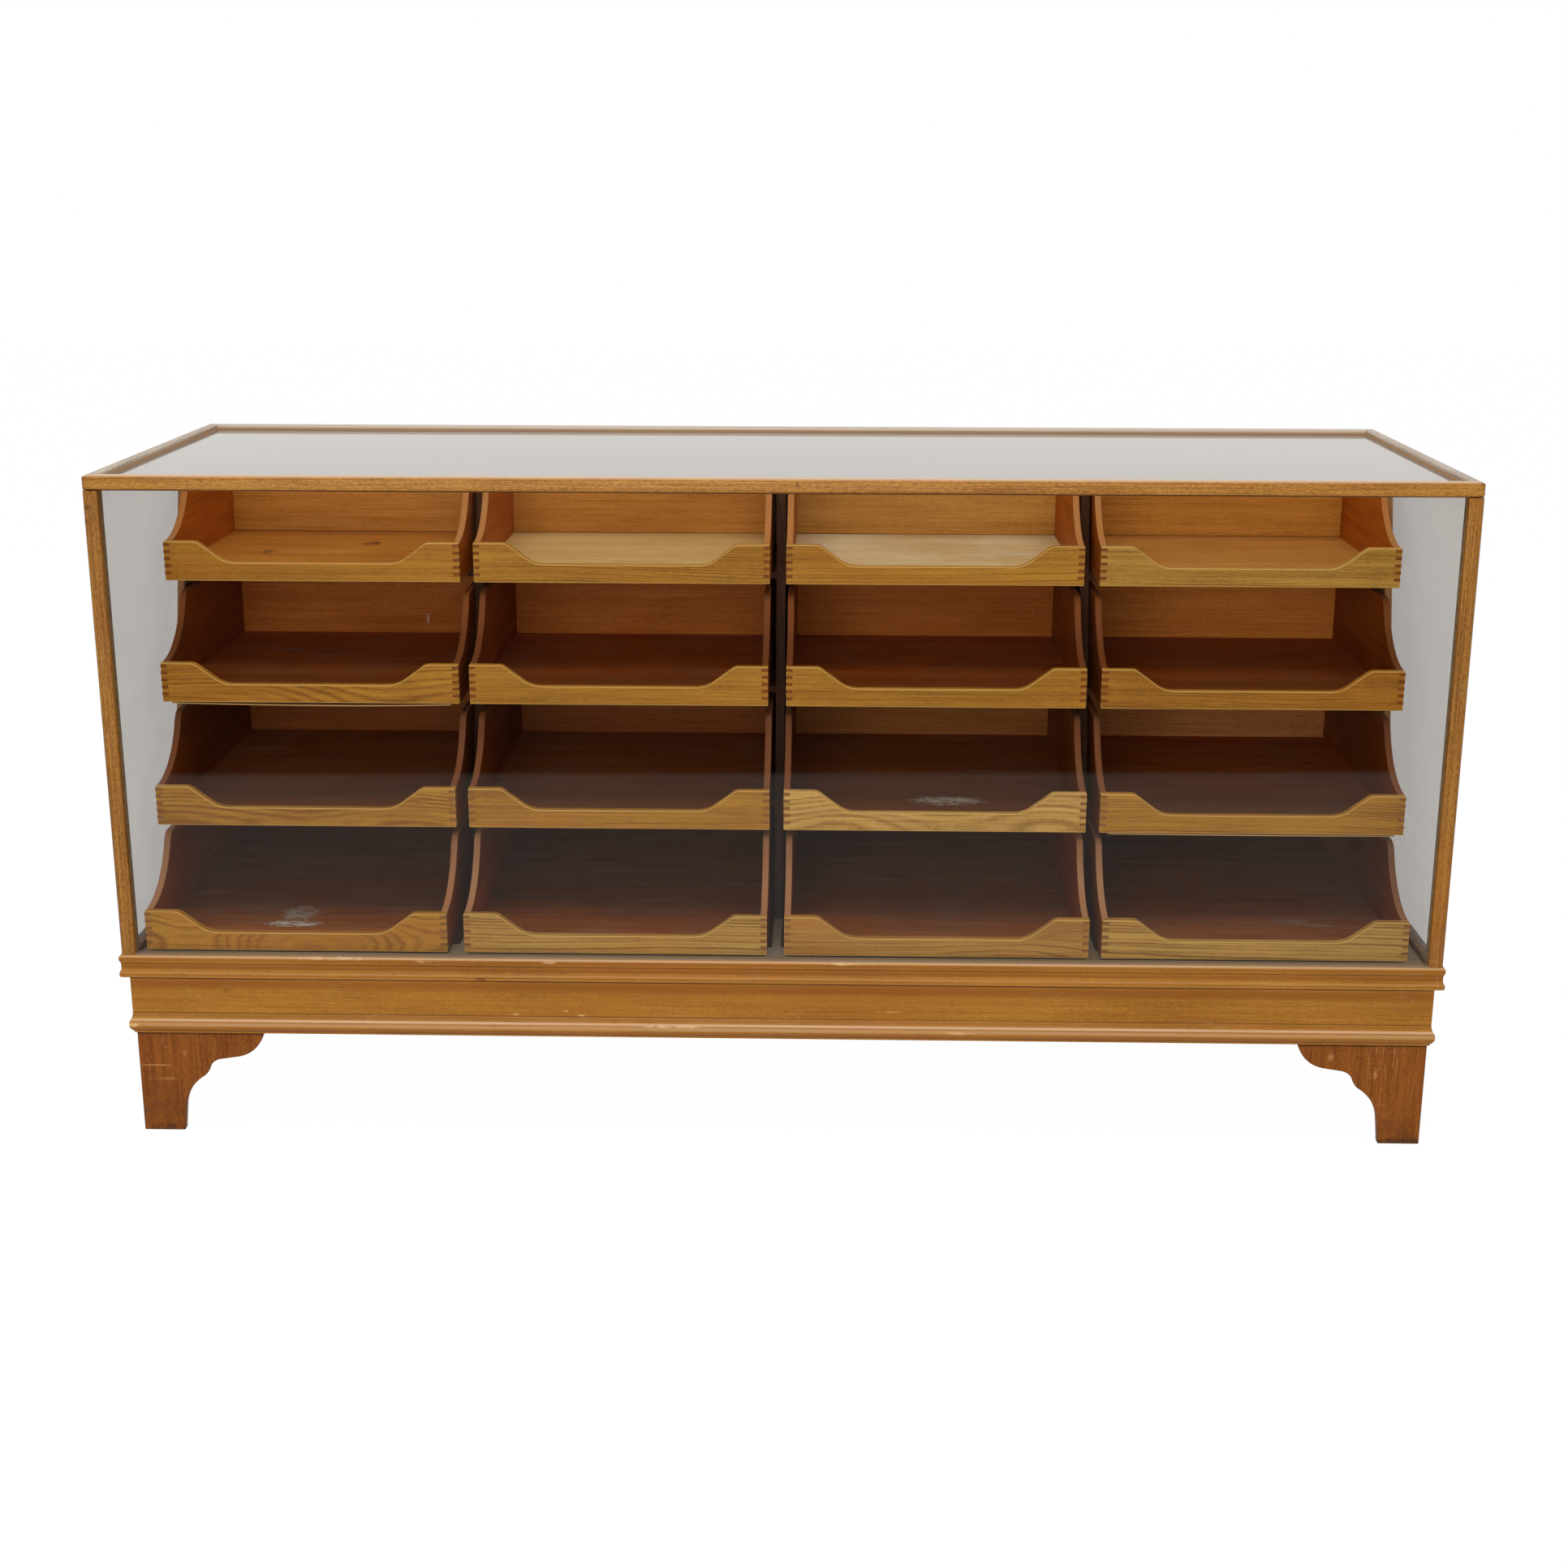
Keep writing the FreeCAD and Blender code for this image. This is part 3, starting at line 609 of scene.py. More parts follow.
# loops, ring space and heart of each front board, rows from the top
frontFigure = [[(0.01, 2.4, 80), (0.02, 3.2, 40), (0.03, 4.0, 50), (0.01, 2.6, 80)],
               [(0.05, 3.4, 30), (0.01, 2.4, 80), (0.01, 2.6, 90), (0.02, 2.6, 60)],
               [(0.05, 3.4, 25), (0.015, 2.8, 70), (0.06, 5.2, 30), (0.03, 3.4, 55)],
               [(0.05, 3.0, 12), (0.014, 4.3, 60), (0.04, 2.6, 30), (0.010, 4.4, 60)]]


def drawerFront(x, y, z, figure):
    half = drawer["width"] / 2
    top = z + drawer["frontHeight"]
    dip = top - drawer["dip"]
    near = half - drawer["flat"]
    deep = near - drawer["slope"]
    line = roundedPath([(x - half, top), (x - near, top, drawer["dipTopRound"]),
                        (x - deep, dip, drawer["dipFootRound"]),
                        (x + deep, dip, drawer["dipFootRound"]),
                        (x + near, top, drawer["dipTopRound"]), (x + half, top)])
    along = np.union1d(line[:, 0], np.linspace(x - half, x + half, drawer["frontStations"]))
    high = np.interp(along, line[:, 0], line[:, 1])
    board = slab(along, z, high, y, y + drawer["frontThick"], drawer["ease"], "xzy", "front")
    return dict(board, figure=figure)


def drawerFingers(x, y, z):
    # End grain of the sides' fingers, a hair proud of the front and of the side.
    shells = []
    for hand in (-1, 1):
        edges = sorted((x + hand * (drawer["width"] / 2 + finger["proud"]),
                        x + hand * (drawer["width"] / 2 - drawer["side"])))
        for index in range(finger["count"]):
            low = z + finger["margin"] + index * finger["pitch"]
            shell = slab(edges, low, low + finger["height"], y - finger["proud"],
                         y + drawer["frontThick"], finger["ease"], "xzy", "fingers")
            shells.append(dict(shell, grain=shell["grain"][:, [2, 1, 0]], wear=shell["wear"] * 0))
    return shells


def drawerSide(outer, y, back, z):
    top = z + drawer["frontHeight"]
    sideTop = z + drawer["height"]
    corner = y + drawer["sweepStart"]
    line = roundedPath([(y, top), (corner, top, drawer["sweep"]),
                        (corner + drawer["sweepRun"], sideTop, drawer["topRound"]),
                        (back, sideTop)], steps=14)
    start = y + drawer["frontThick"] - drawer["sideLap"]
    along = np.concatenate([[start], line[:, 0][line[:, 0] > start]])
    high = np.interp(along, line[:, 0], line[:, 1])
    board = slab(along, z, high, outer, outer + drawer["side"], drawer["ease"], "yzx", "side")
    board["wear"][:-2].reshape(-1, ringPoints)[:, [0, -1]] = 1.0   # the worn top edge
    return board


# mm that the loose sheet under a bottom sags below the front
looseSag = {(2, 1): 2.4, (3, 4): 0.6}
loose = dict(inset=12 * mm, drop=1 * mm, thick=1.6 * mm, start=2 * mm, end=26 * mm,
             ease=0.3 * mm, lean=0.3, stations=24)


def looseSheet(x, y, z, sag):
    # A thin sheet whose edge shows under the front; it sags most right of the middle:
    # sag times (1 - share squared) times (1 + lean times share), share from -1 to 1.
    half = drawer["width"] / 2 - loose["inset"]
    along = np.linspace(x - half, x + half, loose["stations"])
    share = (along - x) / half
    low = z - loose["drop"] - sag * mm * (1 - share ** 2) * (1 + loose["lean"] * share)
    return slab(along, low - loose["thick"], low, y + loose["start"], y + loose["end"],
                loose["ease"], "xzy", "sheet")


# which wood each drawer got, rows from the top
bottomKinds = [["bottomWarm", "bottomGolden", "bottomPale", "bottomTan"],
               ["bottomRed"] * 4, ["bottomMid"] * 3 + ["bottomRed"], ["bottom"] * 4]
frontKinds = [["front", "front", "front", "frontPale"],
              ["front", "front", "front", "frontRed"],
              ["front", "front", "frontLight", "front"],
              ["front", "frontBuff", "frontDun", "frontBuff"]]
sideKinds = ["sideWarm", "side", "sideRose", "sidePink"]
# The darker backs of rows 3 and 4 are darker copies of the back wood: painted shade deep inside
# the lower drawers.
backKinds = [["back", "back", "backGold", "back"], ["backRed"] * 3 + ["backOrange"],
             ["backDarkShaded", "backDarkShaded", "backBrownShaded", "backTan"], ["backDarkShaded"] * 4]
touch = 0.01 * mm            # points nearer than this lie on the same plane


def makeDrawer(row, column, finishes):
    tag = drawerTag % (row, column)
    low, high = (np.array(corner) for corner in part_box(tag + "_box"))
    x = (low[0] + high[0]) / 2 + trayShift[row - 1][column - 1] * mm
    y, z = low[1], low[2] + drawer["faceDrop"]
    back = high[1] - drawer["faceThick"]
    half = drawer["width"] / 2
    front = [drawerFront(x, y, z, frontFigure[row - 1][column - 1])] + drawerFingers(x, y, z)
    makePiece(tag + "_front", front,
              {"front": finishes[frontKinds[row - 1][column - 1]],
               "fingers": finishes["fingersPale" if row > 2 else "fingers"]},
              tag)
    reach = half - drawer["side"] + drawer["housed"]
    bed = z + drawer["bottomLift"]
    bottom = slab(np.linspace(x - reach, x + reach, drawer["sheetStations"]),
                  y + drawer["frontThick"] - drawer["housed"], back + drawer["housed"],
                  bed, bed + drawer["bottom"], drawer["bottomEase"], "xyz", "bottom")
    face = slab(np.linspace(low[0], high[0], drawer["sheetStations"]), low[2], high[2], back,
                high[1], drawer["faceEase"], "xzy", "face")
    # the face board's inner side, towards -y, is the back that shows in the open drawer
    depth = face["points"][:, 1]
    inside = np.concatenate([depth[corners].max(axis=1) < back + touch
                             for corners in face["faces"]])
    face["finish"] = ["back" if hidden else "face" for hidden in inside]
    shells = [drawerSide(outer, y, back, z) for outer in (x - half, x + half - drawer["side"])]
    shells += [bottom, face]
    tray = dict(face=finishes["face"], side=finishes[sideKinds[row - 1]],
                bottom=finishes[bottomKinds[row - 1][column - 1]],
                back=finishes[backKinds[row - 1][column - 1]])
    if (row, column) in looseSag:
        shells.append(looseSheet(x, y, z, looseSag[row, column]))
        tray["sheet"] = finishes["sheet"]
    makePiece(tag + "_tray", shells, tray, tag, [tag + "_box"])


# profile = (share of the head's radius, share of the way out of the face)
knob = dict(head=14 * mm, around=40,
            profile=[(0.36, -0.10), (0.66, -0.02), (0.68, 0.06), (0.66, 0.14), (0.55, 0.20),
                     (0.47, 0.28), (0.45, 0.38), (0.50, 0.48), (0.72, 0.56), (0.93, 0.62),
                     (1, 0.70), (0.99, 0.79), (0.90, 0.88), (0.70, 0.95), (0.42, 0.985),
                     (0.15, 1)])


def makeKnob(row, column, finish):
    # The profile turned round the knob's own axis.
    tag = drawerTag % (row, column)
    low, high = (np.array(corner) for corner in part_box(tag + "_knob"))
    x, z = (low[0] + high[0]) / 2, (low[2] + high[2]) / 2
    face = low[1] + drawer["faceThick"]
    turn = np.linspace(0, 2 * math.pi, knob["around"], endpoint=False)
    wide, out = np.array(knob["profile"]).T[:, :, None]
    radius = wide * knob["head"]
    y = np.broadcast_to(face + out * (high[1] - face), (len(out), len(turn)))
    rings = np.stack([x + radius * np.cos(turn), y, z + radius * np.sin(turn)], -1)
    points, faces = closedSweep(rings)
    shell = dict(points=points, faces=faces, grain=points[:, [1, 0, 2]], finish="knob",
                 wear=np.zeros(len(points)))
    makePiece(tag + "_turned_knob", [shell], {"knob": finish}, tag, [tag + "_knob"])


# edge: corners of the shaped edge: across from the outer edge, below the top, radius, in mm
foot = dict(board=12 * mm, height=148 * mm, wing=177.3 * mm, toe=57 * mm, ease=1.5 * mm,
            edge=[(63.6, 84, 60), (94.9, 62.3, 17.9), (101.2, 42.3, 22.7),
                  (164, 32.4, 43)],
            seam=0.3 * mm, stations=24, block=28 * mm, blockLift=4 * mm,
            blockEase=1 * mm)


def footBoard(corner, sign, across, outer, inward, start):
    # Stations run up the foot; its width at each height follows the shaped edge.
    shaped = [(foot["height"] - below * mm, reach * mm, radius * mm)
              for reach, below, radius in foot["edge"]]
    line = roundedPath([(0.0, foot["toe"])] + shaped + [(foot["height"], foot["wing"])])
    up = np.union1d(line[:, 0], np.linspace(0, foot["height"], foot["stations"]))
    reach = np.interp(up, line[:, 0], line[:, 1])
    edges = np.sort([corner - sign * start * np.ones_like(reach), corner - sign * reach], axis=0)
    depth = sorted((outer, outer - inward * foot["board"]))
    axes = "z" + across + ("y" if across == "x" else "x")
    return slab(up, edges[0], edges[1], depth[0], depth[1], foot["ease"], axes, "foot")


def makeFoot(name, finish):
    low, high = (np.array(corner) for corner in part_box(name))
    signX, signY = (1 if middle > 0 else -1 for middle in (low + high)[:2])
    cornerX = high[0] if signX > 0 else low[0]
    cornerY = high[1] if signY > 0 else low[1]
    inner = foot["board"]
    shells = [footBoard(cornerX, signX, "x", cornerY, signY, 0.0),
              footBoard(cornerY, signY, "y", cornerX, signX, inner - foot["seam"])]
    spanX = sorted((cornerX - signX * inner, cornerX - signX * (inner + foot["block"])))
    spanY = sorted((cornerY - signY * inner, cornerY - signY * (inner + foot["block"])))
    block = slab([foot["blockLift"], high[2]], *spanX, *spanY, foot["blockEase"], "zxy", "foot")
    makePiece(name + "_bracket", shells + [block], {"foot": finish}, "case", [name])


# Marks: centre, radii, strength, raggedness and colour, in metres and 0-255.
bottomMarksAndShade = [
    # The first two are painted shade: dark bands across the front part of the row 2 and row 3
    # bottoms, just behind the drawer fronts. The rest are patches, knots, scratches and scuffs.
    ((0, -0.136, 0.6), (9, 0.15, 0.01), 0.8, 0, (89, 40, 9)),
    ((0, -0.203, 0.441), (9, 0.21, 0.01), 0.8, 0, (76, 39, 16)),
    ((0.64, -0.18, 0.441), (0.42, 0.11, 0.01), 0.55, 0.4, (84, 60, 44)),
    ((-0.748, 0.128, 0.6), (0.04, 0.01, 0.01), 0.35, 1.4, (132, 116, 104)),
    ((-0.682, -0.17, 0.282), (0.03, 0.038, 0.01), 0.75, 1.6, (164, 152, 142)),
    ((-0.68, -0.215, 0.282), (0.045, 0.016, 0.01), 0.95, 1.5, (190, 180, 170)),
    ((-0.735, -0.138, 0.282), (0.05, 0.045, 0.01), 0.35, 1.8, (120, 104, 94)),
    ((-0.641, -0.128, 0.282), (0.035, 0.02, 0.01), 0.3, 1.8, (120, 104, 94)),
    ((0.722, -0.165, 0.282), (0.034, 0.014, 0.01), 0.6, 1.6, (136, 120, 106)),
    ((0.753, -0.181, 0.282), (0.035, 0.012, 0.01), 0.55, 1.6, (136, 120, 106)),
    ((0.676, 0.169, 0.282), (0.005, 0.008, 0.01), 0.7, 0.6, (20, 10, 6)),
    ((0.234, -0.118, 0.441), (0.06, 0.026, 0.01), 0.85, 1.5, (176, 158, 144)),
    ((0.245, -0.122, 0.441), (0.004, 0.006, 0.01), 0.8, 0.4, (52, 36, 26)),
    ((0.785, 0.103, 0.441), (0.006, 0.008, 0.01), 0.6, 0.6, (40, 22, 12)),
]
warmMarks = [
    ((-0.615, 0.15, 0.759), (0.006, 0.016, 0.01), 0.9, 0.5, (60, 28, 10)),
    ((-0.623, 0.145, 0.759), (0.018, 0.026, 0.01), 0.7, 0.9, (90, 44, 18)),
    ((-0.76, 0.07, 0.759), (0.01, 0.02, 0.01), 0.9, 0.6, (66, 30, 12)),
    ((-0.682, 0.074, 0.759), (0.1, 0.03, 0.01), 0.3, 1.4, (196, 132, 70)),
]
# Painted shade: dark eggs over the inner sides of the drawers in rows 2 and 3 and the right end of
# row 4, where shade falls inside the drawers.
sidePaintedShade = [((0, -0.136, 0.64), (9, 0.15, 0.09), 0.55, 0, (60, 24, 6)),
             ((0, -0.02, 0.51), (9, 0.42, 0.1), 0.5, 0, (70, 30, 8)),
             ((0.9, -0.08, 0.35), (0.12, 0.36, 0.13), 0.5, 0, (44, 20, 10))]
backMarks = [((-0.5635, 0.258, 0.622), (0.0025, 0.01, 0.012), 0.5, 1.2, (196, 176, 156))]
railMarks = [
    ((-0.9, -0.3, 0.9185), (0.012, 0.03, 0.005), 0.6, 1, (84, 56, 30)),
    ((0.9, -0.3, 0.9185), (0.01, 0.03, 0.004), 0.6, 1, (84, 56, 30)),
    ((-0.9025, -0.3, 0.91), (0.003, 0.02, 0.012), 0.7, 0.5, (74, 48, 26)),
    ((0.9025, -0.3, 0.91), (0.003, 0.02, 0.012), 0.7, 0.5, (74, 48, 26)),
    ((0.024, -0.301, 0.9135), (0.002, 0.02, 0.004), 0.7, 0.4, (70, 42, 20)),
]
postMarks = [
    ((-0.9035, -0.303, 0.58), (0.0026, 0.01, 0.6), 0.6, 0.4, (104, 66, 32)),
    ((0.9035, -0.303, 0.58), (0.0026, 0.01, 0.6), 0.6, 0.4, (104, 66, 32)),
    ((-0.896, -0.3, 0.879), (0.009, 0.02, 0.004), 0.6, 0.8, (70, 40, 18)),
    ((-0.897, -0.3, 0.86), (0.006, 0.02, 0.004), 0.7, 0.8, (52, 30, 14)),
    ((-0.893, -0.3, 0.6), (0.004, 0.02, 0.03), 0.4, 1.2, (84, 50, 22)),
]
chipMarks = [
    ((-0.892, -0.301, 0.1605), (0.012, 0.01, 0.004), 0.8, 0.9, (222, 180, 120)),
    ((-0.15, -0.3, 0.166), (0.06, 0.01, 0.0024), 0.6, 1.6, (226, 186, 140)),
    ((0.25, -0.3, 0.161), (0.03, 0.01, 0.003), 0.5, 1.6, (220, 176, 124)),
    ((-0.55, -0.3, 0.156), (0.04, 0.01, 0.003), 0.5, 1.6, (110, 62, 24)),
]
noseMarks = [
    ((-0.61, -0.3, 0.2625), (0.06, 0.01, 0.0026), 0.5, 1.6, (214, 176, 136)),
    ((-0.48, -0.3, 0.26), (0.02, 0.01, 0.0024), 0.5, 1.4, (212, 172, 130)),
    ((-0.313, -0.3, 0.26), (0.012, 0.01, 0.0024), 0.5, 1.2, (214, 174, 132)),
    ((0.1, -0.3, 0.2615), (0.045, 0.01, 0.0022), 0.6, 1.6, (224, 182, 138)),
    ((-0.406, -0.3, 0.235), (0.012, 0.01, 0.0034), 0.8, 0.9, (110, 58, 16)),
    ((-0.82, -0.3, 0.236), (0.022, 0.01, 0.003), 0.5, 1.2, (140, 90, 20)),
]
fasciaMarks = [
    ((-0.36, -0.2925, 0.18), (0.006, 0.01, 0.0018), 0.7, 1, (214, 166, 110)),
    ((-0.292, -0.2925, 0.186), (0.005, 0.01, 0.003), 0.5, 1, (204, 150, 92)),
    ((-0.27, -0.2925, 0.1795), (0.008, 0.01, 0.0016), 0.7, 1, (210, 170, 110)),
    ((0.15, -0.2925, 0.189), (0.02, 0.01, 0.002), 0.4, 1.5, (206, 156, 100)),
    ((-0.76, -0.2925, 0.212), (0.006, 0.01, 0.006), 0.5, 1, (112, 72, 18)),
]
footMarksAndShadow = [
    # The first mark, a dark line along the feet right under the base moulding, is painted shadow;
    # the rest are scratches, chips and darker patches.
    ((0, -0.293, 0.148), (9, 0.01, 0.0052), 0.9, 0.2, (60, 28, 8)),
    ((0, -0.293, 0), (9, 0.012, 0.013), 0.8, 1, (62, 36, 20)),
    ((-0.868, -0.289, 0.098), (0.03, 0.004, 0.0012), 0.7, 0.3, (206, 146, 84)),
    ((-0.858, -0.289, 0.078), (0.03, 0.004, 0.003), 0.4, 1.6, (196, 138, 88)),
    ((-0.872, -0.289, 0.087), (0.014, 0.004, 0.003), 0.5, 1, (88, 46, 18)),
    ((-0.826, -0.289, 0.118), (0.003, 0.004, 0.007), 0.6, 1, (204, 150, 104)),
    ((-0.852, -0.289, 0.02), (0.06, 0.004, 0.03), 0.35, 1.4, (84, 48, 24)),
    ((0.852, -0.289, 0.02), (0.06, 0.004, 0.03), 0.35, 1.4, (84, 48, 24)),
    ((-0.868, -0.289, 0.05), (0.06, 0.004, 0.04), 0.4, 1.6, (96, 52, 20)),
    ((0.822, -0.289, 0.102), (0.004, 0.004, 0.01), 0.5, 1, (196, 142, 92)),
    ((0.76, -0.289, 0.128), (0.006, 0.004, 0.008), 0.5, 1, (196, 142, 92)),
    ((0.893, -0.289, 0.125), (0.004, 0.004, 0.02), 0.5, 0.6, (84, 46, 20)),
]


# Bands: height, half width, strength and colour, in mm and 0-255.
# The pale bands on the nose's top edge and on the bead are painted highlights, the nose's partly a
# worn edge too; the dark lines under the nose and under the bead are painted shade; the rest
# change the wood's tone.
mouldingLightShadeBands = [(265.2, 0.8, 1.3, (130, 114, 98)), (263, 1.8, 0.85, (188, 152, 114)),
                 (258.6, 3.2, 0.6, (132, 79, 27)), (252.6, 1.6, 0.8, (96, 50, 14)),
                 (247.5, 5, 0.8, (132, 76, 24)), (239.8, 1.8, 0.5, (176, 132, 84)),
                 (236.4, 1, 0.5, (128, 80, 30)), (233.6, 2, 0.5, (176, 126, 68)),
                 (230.6, 1, 0.9, (84, 42, 8))]
# Painted shade: the dark line under the moulding, the darker top of the fascia beneath it, and the
# dark line where the fascia meets the base bead.
plinthShadeBands = [(229, 2.4, 1.1, (80, 38, 6)), (219, 10, 0.8, (142, 82, 22)),
               (177.5, 1.4, 0.8, (110, 68, 24))]
# Painted highlights: the pale bands on the bead's upper slope and front; painted shade: the darker
# turn under it and the dark line at its foot; the thin dark line in the cove darkens the tone.
beadLightShadeBands = [(167.8, 2.4, 0.9, (208, 168, 130)), (173.6, 1.6, 0.6, (132, 86, 36)),
             (162, 4, 0.6, (190, 150, 106)), (155, 4.2, 0.7, (142, 86, 34)),
             (151.6, 1.6, 1, (84, 46, 20))]
# On the front rail: the pale band along the top is painted sky sheen, the dark line at its lower
# edge painted shade, and the pale line below it a painted reflection of the glass edge; the band
# at 916.6 darkens the tone.
railLightShadeBands = [(921, 3.4, 0.9, (194, 162, 130)), (901.4, 1.6, 1, (84, 50, 26)),
             (898.6, 0.9, 0.9, (176, 134, 92)), (916.6, 1, 0.5, (112, 68, 30))]
# On the rear rail: the pale grey band on the top is painted sky sheen, the darker lines below it
# painted shade down to the glass.
rearSheenShadeBands = [(916.5, 5, 1.1, (189, 172, 154)), (907.6, 2, 1.2, (110, 84, 60)),
             (911.5, 0.9, 0.9, (120, 96, 74))]
# Painted shade: a dark line on the row 1 backs where the bottoms meet them.
backCreaseShade = [(759.2, 1.6, 0.7, (60, 28, 8))]
puttyBands = [(913, 4.5, 1.6, (140, 108, 78))]

# Groups of finishes: what they share, then each one's material, light and dark wood, and
# what it has of its own.
woods = [
    (dict(scuffs=0.12, drift=0.35, contrast=0.6, streak=0.6, fine=0.8), dict(
        front=("goldenOak", (178, 122, 38), (130, 79, 19)),
        frontPale=("paleOak", (186, 137, 60), (136, 89, 33)),
        frontLight=("lightOak", (204, 156, 84), (150, 104, 46)),
        frontBuff=("buffOak", (184, 137, 67), (134, 89, 38), dict(contrast=1.1)),
        frontRed=("redOak", (170, 112, 34), (122, 71, 16)),
        frontDun=("dunOak", (178, 126, 58), (130, 82, 32)))),
    (dict(contrast=0.2, pores=0.2), dict(
        fingers=("endGrain", (134, 70, 18), (106, 52, 10), dict(pore=(60, 26, 8))),
        fingersPale=("paleEndGrain", (142, 92, 44), (114, 68, 28), dict(pore=(80, 40, 16))))),
    (dict(pore=(64, 26, 4), contrast=0.35, pores=0.3, fine=0.5, shine=0.05,
          marks=sidePaintedShade), dict(
        side=("sideWood", (160, 74, 14), (122, 50, 8), dict(edge=(132, 78, 46))),
        sideRose=("sideRose", (160, 74, 14), (122, 50, 8), dict(edge=(150, 100, 72))),
        sidePink=("sidePink", (160, 74, 14), (122, 50, 8),
                  dict(edge=(164, 116, 84), wearShare=0.9)),
        sideWarm=("sideWarm", (187, 94, 20), (142, 63, 13),
                  dict(edge=(162, 108, 60), wearShare=0.9)))),
    (dict(pore=(100, 50, 14), contrast=0.2, streak=0.4, rough=0.5, fine=0.6, shine=0.05,
          marks=backMarks, bands=backCreaseShade), dict(
        back=("backOak", (208, 138, 60), (164, 98, 32)),
        backOrange=("backOrange", (232, 140, 60), (184, 99, 32)),
        backGold=("backGold", (211, 150, 74), (167, 108, 42)),
        backTan=("backTan", (205, 130, 74), (162, 92, 42)),
        backRed=("backRed", (204, 114, 46), (160, 78, 22)),
        # Darker copies of the back wood for rows 3 and 4: painted shade.
        backBrownShaded=("backBrownShaded", (180, 110, 56), (140, 76, 30)),
        backDarkShaded=("backDarkShaded", (160, 88, 42), (124, 60, 20)))),
    (dict(pore=(56, 26, 8), edge=(150, 100, 60), contrast=0.3, rough=0.6, shine=0.05, dust=0.12,
          scuffs=0.25, scuffColour=(150, 126, 104), marks=bottomMarksAndShade), dict(
        bottom=("bottomBoard", (152, 80, 28), (110, 50, 15)),
        bottomMid=("bottomMid", (174, 94, 38), (128, 60, 21)),
        bottomRed=("bottomRed", (188, 94, 32), (138, 60, 18)))),
    (dict(rough=0.65, contrast=0.3, shine=0.05), dict(
        bottomWarm=("bottomWarm", (175, 106, 38), (140, 78, 24), dict(marks=warmMarks)),
        bottomGolden=("bottomGolden", (201, 160, 106), (172, 128, 73)),
        bottomPale=("bottomPale", (203, 164, 118), (176, 135, 89),
                    dict(dust=0.5, dustColour=(204, 186, 160))),
        bottomTan=("bottomTan", (181, 118, 56), (150, 90, 35)),
        sheet=("sheetEdge", (196, 154, 116), (160, 118, 82)))),
    (dict(), dict(
        face=("faceOak", (182, 130, 66), (138, 90, 36)),
        knob=("knobWood", (120, 70, 34), (82, 44, 20), dict(rough=0.3, coat=0.4)),
        foot=("footWood", (148, 84, 26), (106, 54, 10),
              dict(fibre=0.7, speck=1.8, pore=(62, 30, 8), edge=(112, 66, 28), scuffs=0.6,
                   contrast=0.3, scuffColour=(190, 134, 84), marks=footMarksAndShadow)))),
    (dict(pore=(84, 46, 14), contrast=0.3, rough=0.35, scuffs=0.2, blotch=0.3, fibre=0.9,
          fine=0.7, pores=0.8, shine=0.15, speck=2.2), dict(
        railFront=("railOak", (182, 128, 54), (134, 84, 26),
                   dict(along="x", bands=railLightShadeBands, marks=railMarks)),
        # The rear and side rails get grey-tan copies of the rail wood: painted sheen of the sky on
        # their tops.
        railRearSheen=("railOakRearSheen", (178, 157, 135), (139, 116, 94),
                  dict(along="x", bands=rearSheenShadeBands, shine=0.4)),
        railSideSheen=("railOakSideSheen", (172, 148, 120), (128, 106, 84), dict(along="y", shine=0.3)),
        post=("postOak", (168, 116, 48), (118, 72, 22),
              dict(along="z", drift=0.5, marks=postMarks)))),
    (dict(along="case", speck=1.2, pore=(88, 48, 14), contrast=0.12, ringSpace=4.0, rough=0.38,
          scuffs=0.15, pores=0.25, fine=0.4, streak=0.5, scuffColour=(220, 186, 150), drift=0.35,
          driftColour=(158, 92, 26), shine=0.12), dict(
        nose=("mouldingOak", (174, 118, 40), (138, 84, 20),
              dict(bands=mouldingLightShadeBands, marks=noseMarks)),
        fascia=("plinthOak", (174, 118, 40), (138, 84, 20),
                dict(bands=plinthShadeBands, marks=fasciaMarks)),
        bead=("baseBeadOak", (174, 118, 40), (138, 84, 20),
              dict(bands=beadLightShadeBands, marks=chipMarks)))),
    (dict(pore=(30, 16, 8), rough=0.7, shine=0.04), dict(
        upright=("uprightWood", (80, 44, 24), (54, 28, 14), dict(along="z")),
        cross=("crossRailWood", (80, 44, 24), (54, 28, 14), dict(along="x")))),
    (dict(shine=0.05), dict(
        outer=("endUprightWood", (176, 128, 86), (136, 92, 56),
               dict(along="z", pore=(80, 46, 22), rough=0.6)),
        deck=("deckWood", (174, 146, 116), (148, 120, 92),
              dict(along="flat", rough=0.75, dust=0.9, dustColour=(165, 155, 143))),
        putty=("beadStrip", (150, 120, 94), (112, 86, 62),
               dict(along="x", rough=0.7, bands=puttyBands)))),
]


def makeFinishes():
    finishes = {side + "Glass": glassMaterial(side) for side in panes}
    for shared, group in woods:
        for key, (name, light, dark, *own) in group.items():
            look = {**shared, **(own[0] if own else {})}
            finishes[key] = woodMaterial(name, light=light, dark=dark, **look)
    return finishes


cornerNames = ("front_left", "front_right", "rear_left", "rear_right")
# Finish of each CAD node that stays
painted = {
    "top_rail_front": "railFront", "top_rail_rear": "railRearSheen", "top_rail_left": "railSideSheen",
    "top_rail_right": "railSideSheen", **{"post_" + corner: "post" for corner in cornerNames},
    "top_moulding": "nose", "plinth_boards": "fascia", "base_moulding": "bead",
    "rack_upright_1": "outer", **{"rack_upright_%d" % index: "upright" for index in (2, 3, 4)},
    "rack_upright_5": "outer", "rack_rails": "cross", "deck_bearers": "cross",
    "deck_board": "deck", "glazing_beads": "putty", "glass_front": "frontGlass",
    "glass_left": "endGlass", "glass_right": "endGlass", "glass_top": "topGlass",
}


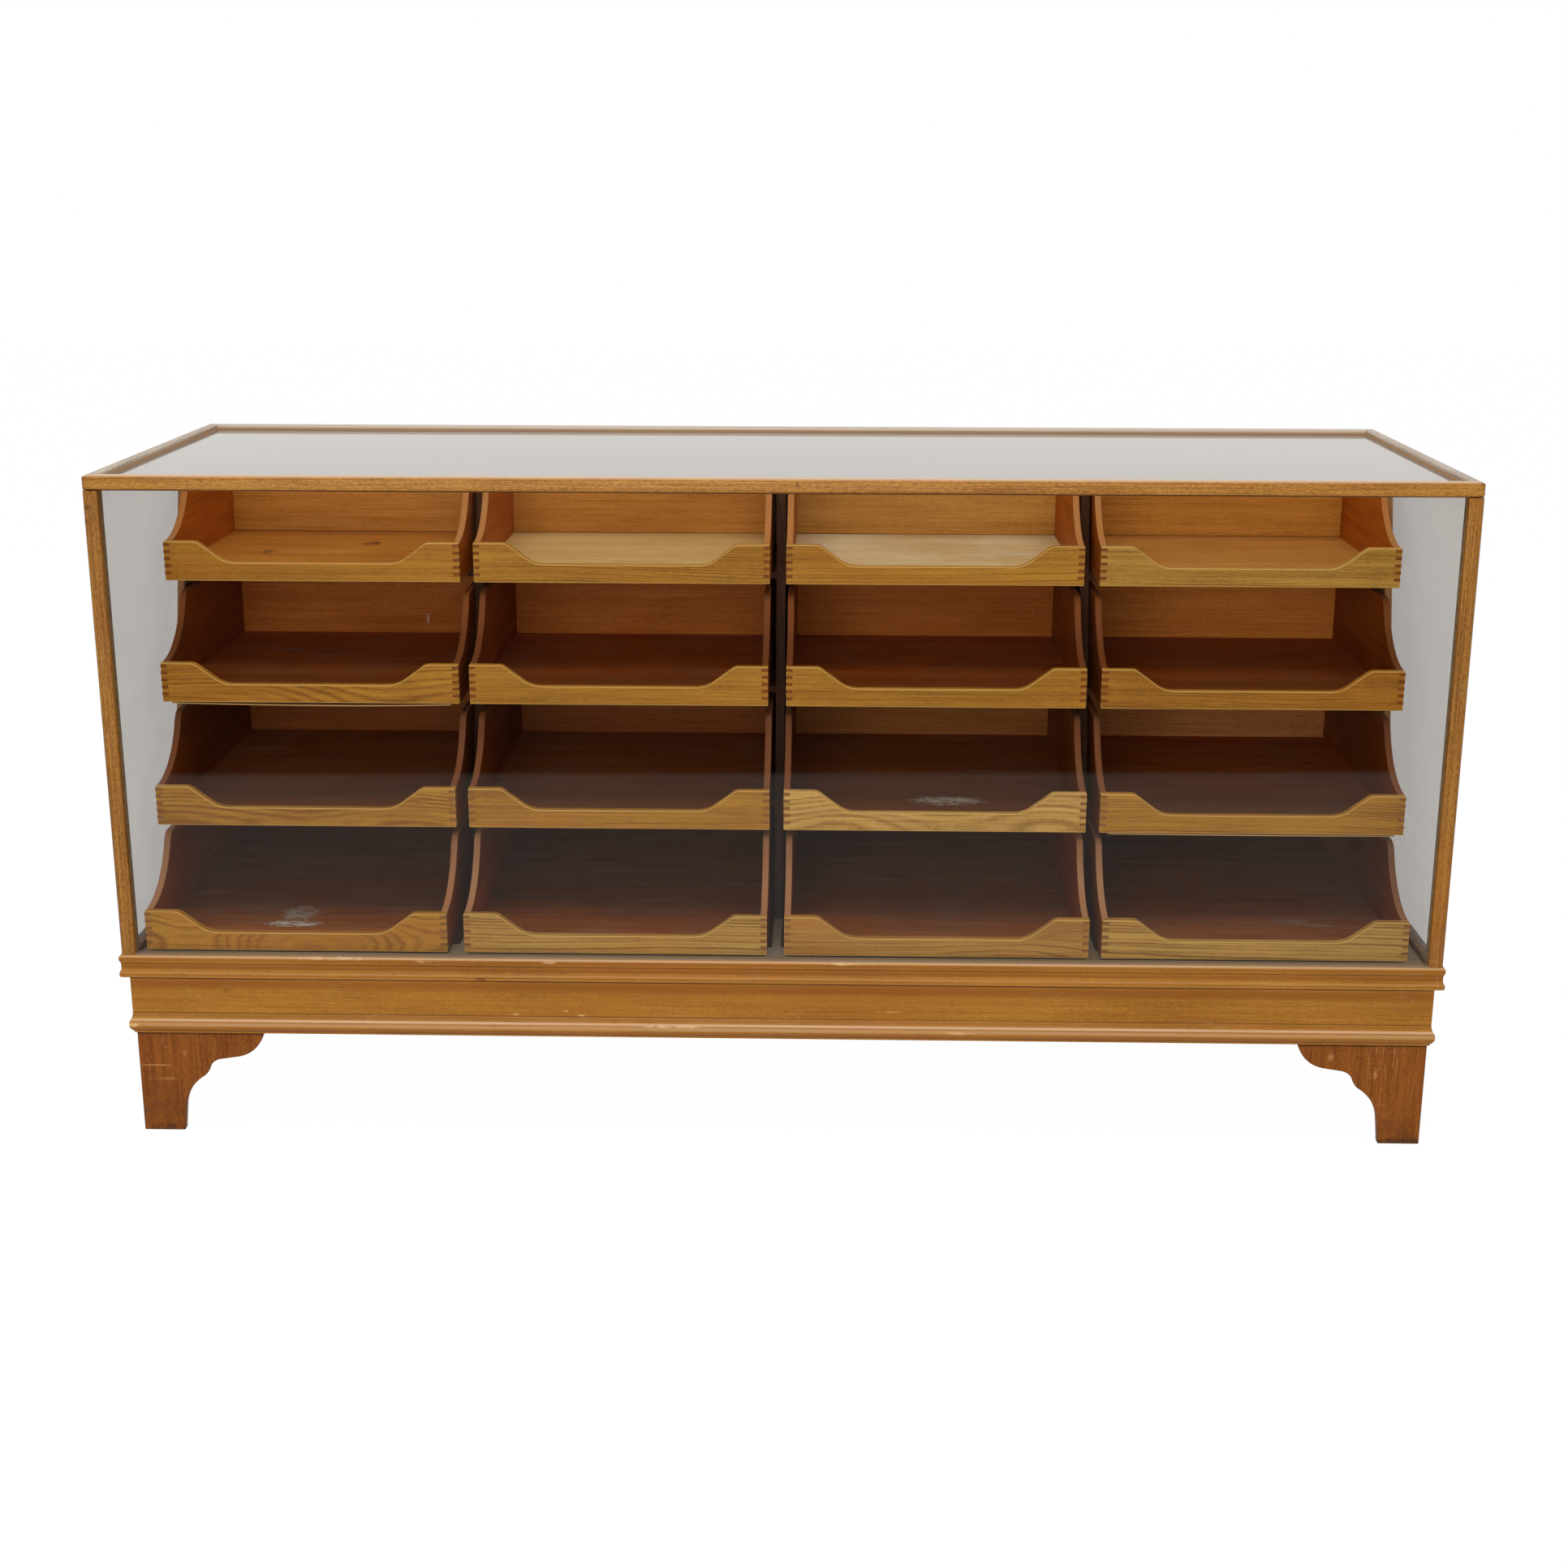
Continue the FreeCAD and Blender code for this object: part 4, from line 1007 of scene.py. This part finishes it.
makeCamera()
makeLamps()
makeWorld()
makeFloor()
print("stage ready")
finishes = makeFinishes()
for row in range(1, drawer["rows"] + 1):
    for column in range(1, drawer["columns"] + 1):
        makeDrawer(row, column, finishes)
        makeKnob(row, column, finishes["knob"])
print("drawers ready")
for corner in cornerNames:
    makeFoot("foot_" + corner, finishes["foot"])
for name, kind in painted.items():
    paintNode(name, finishes[kind])
print("case ready")

bpy.context.scene.view_settings.view_transform = "Standard"
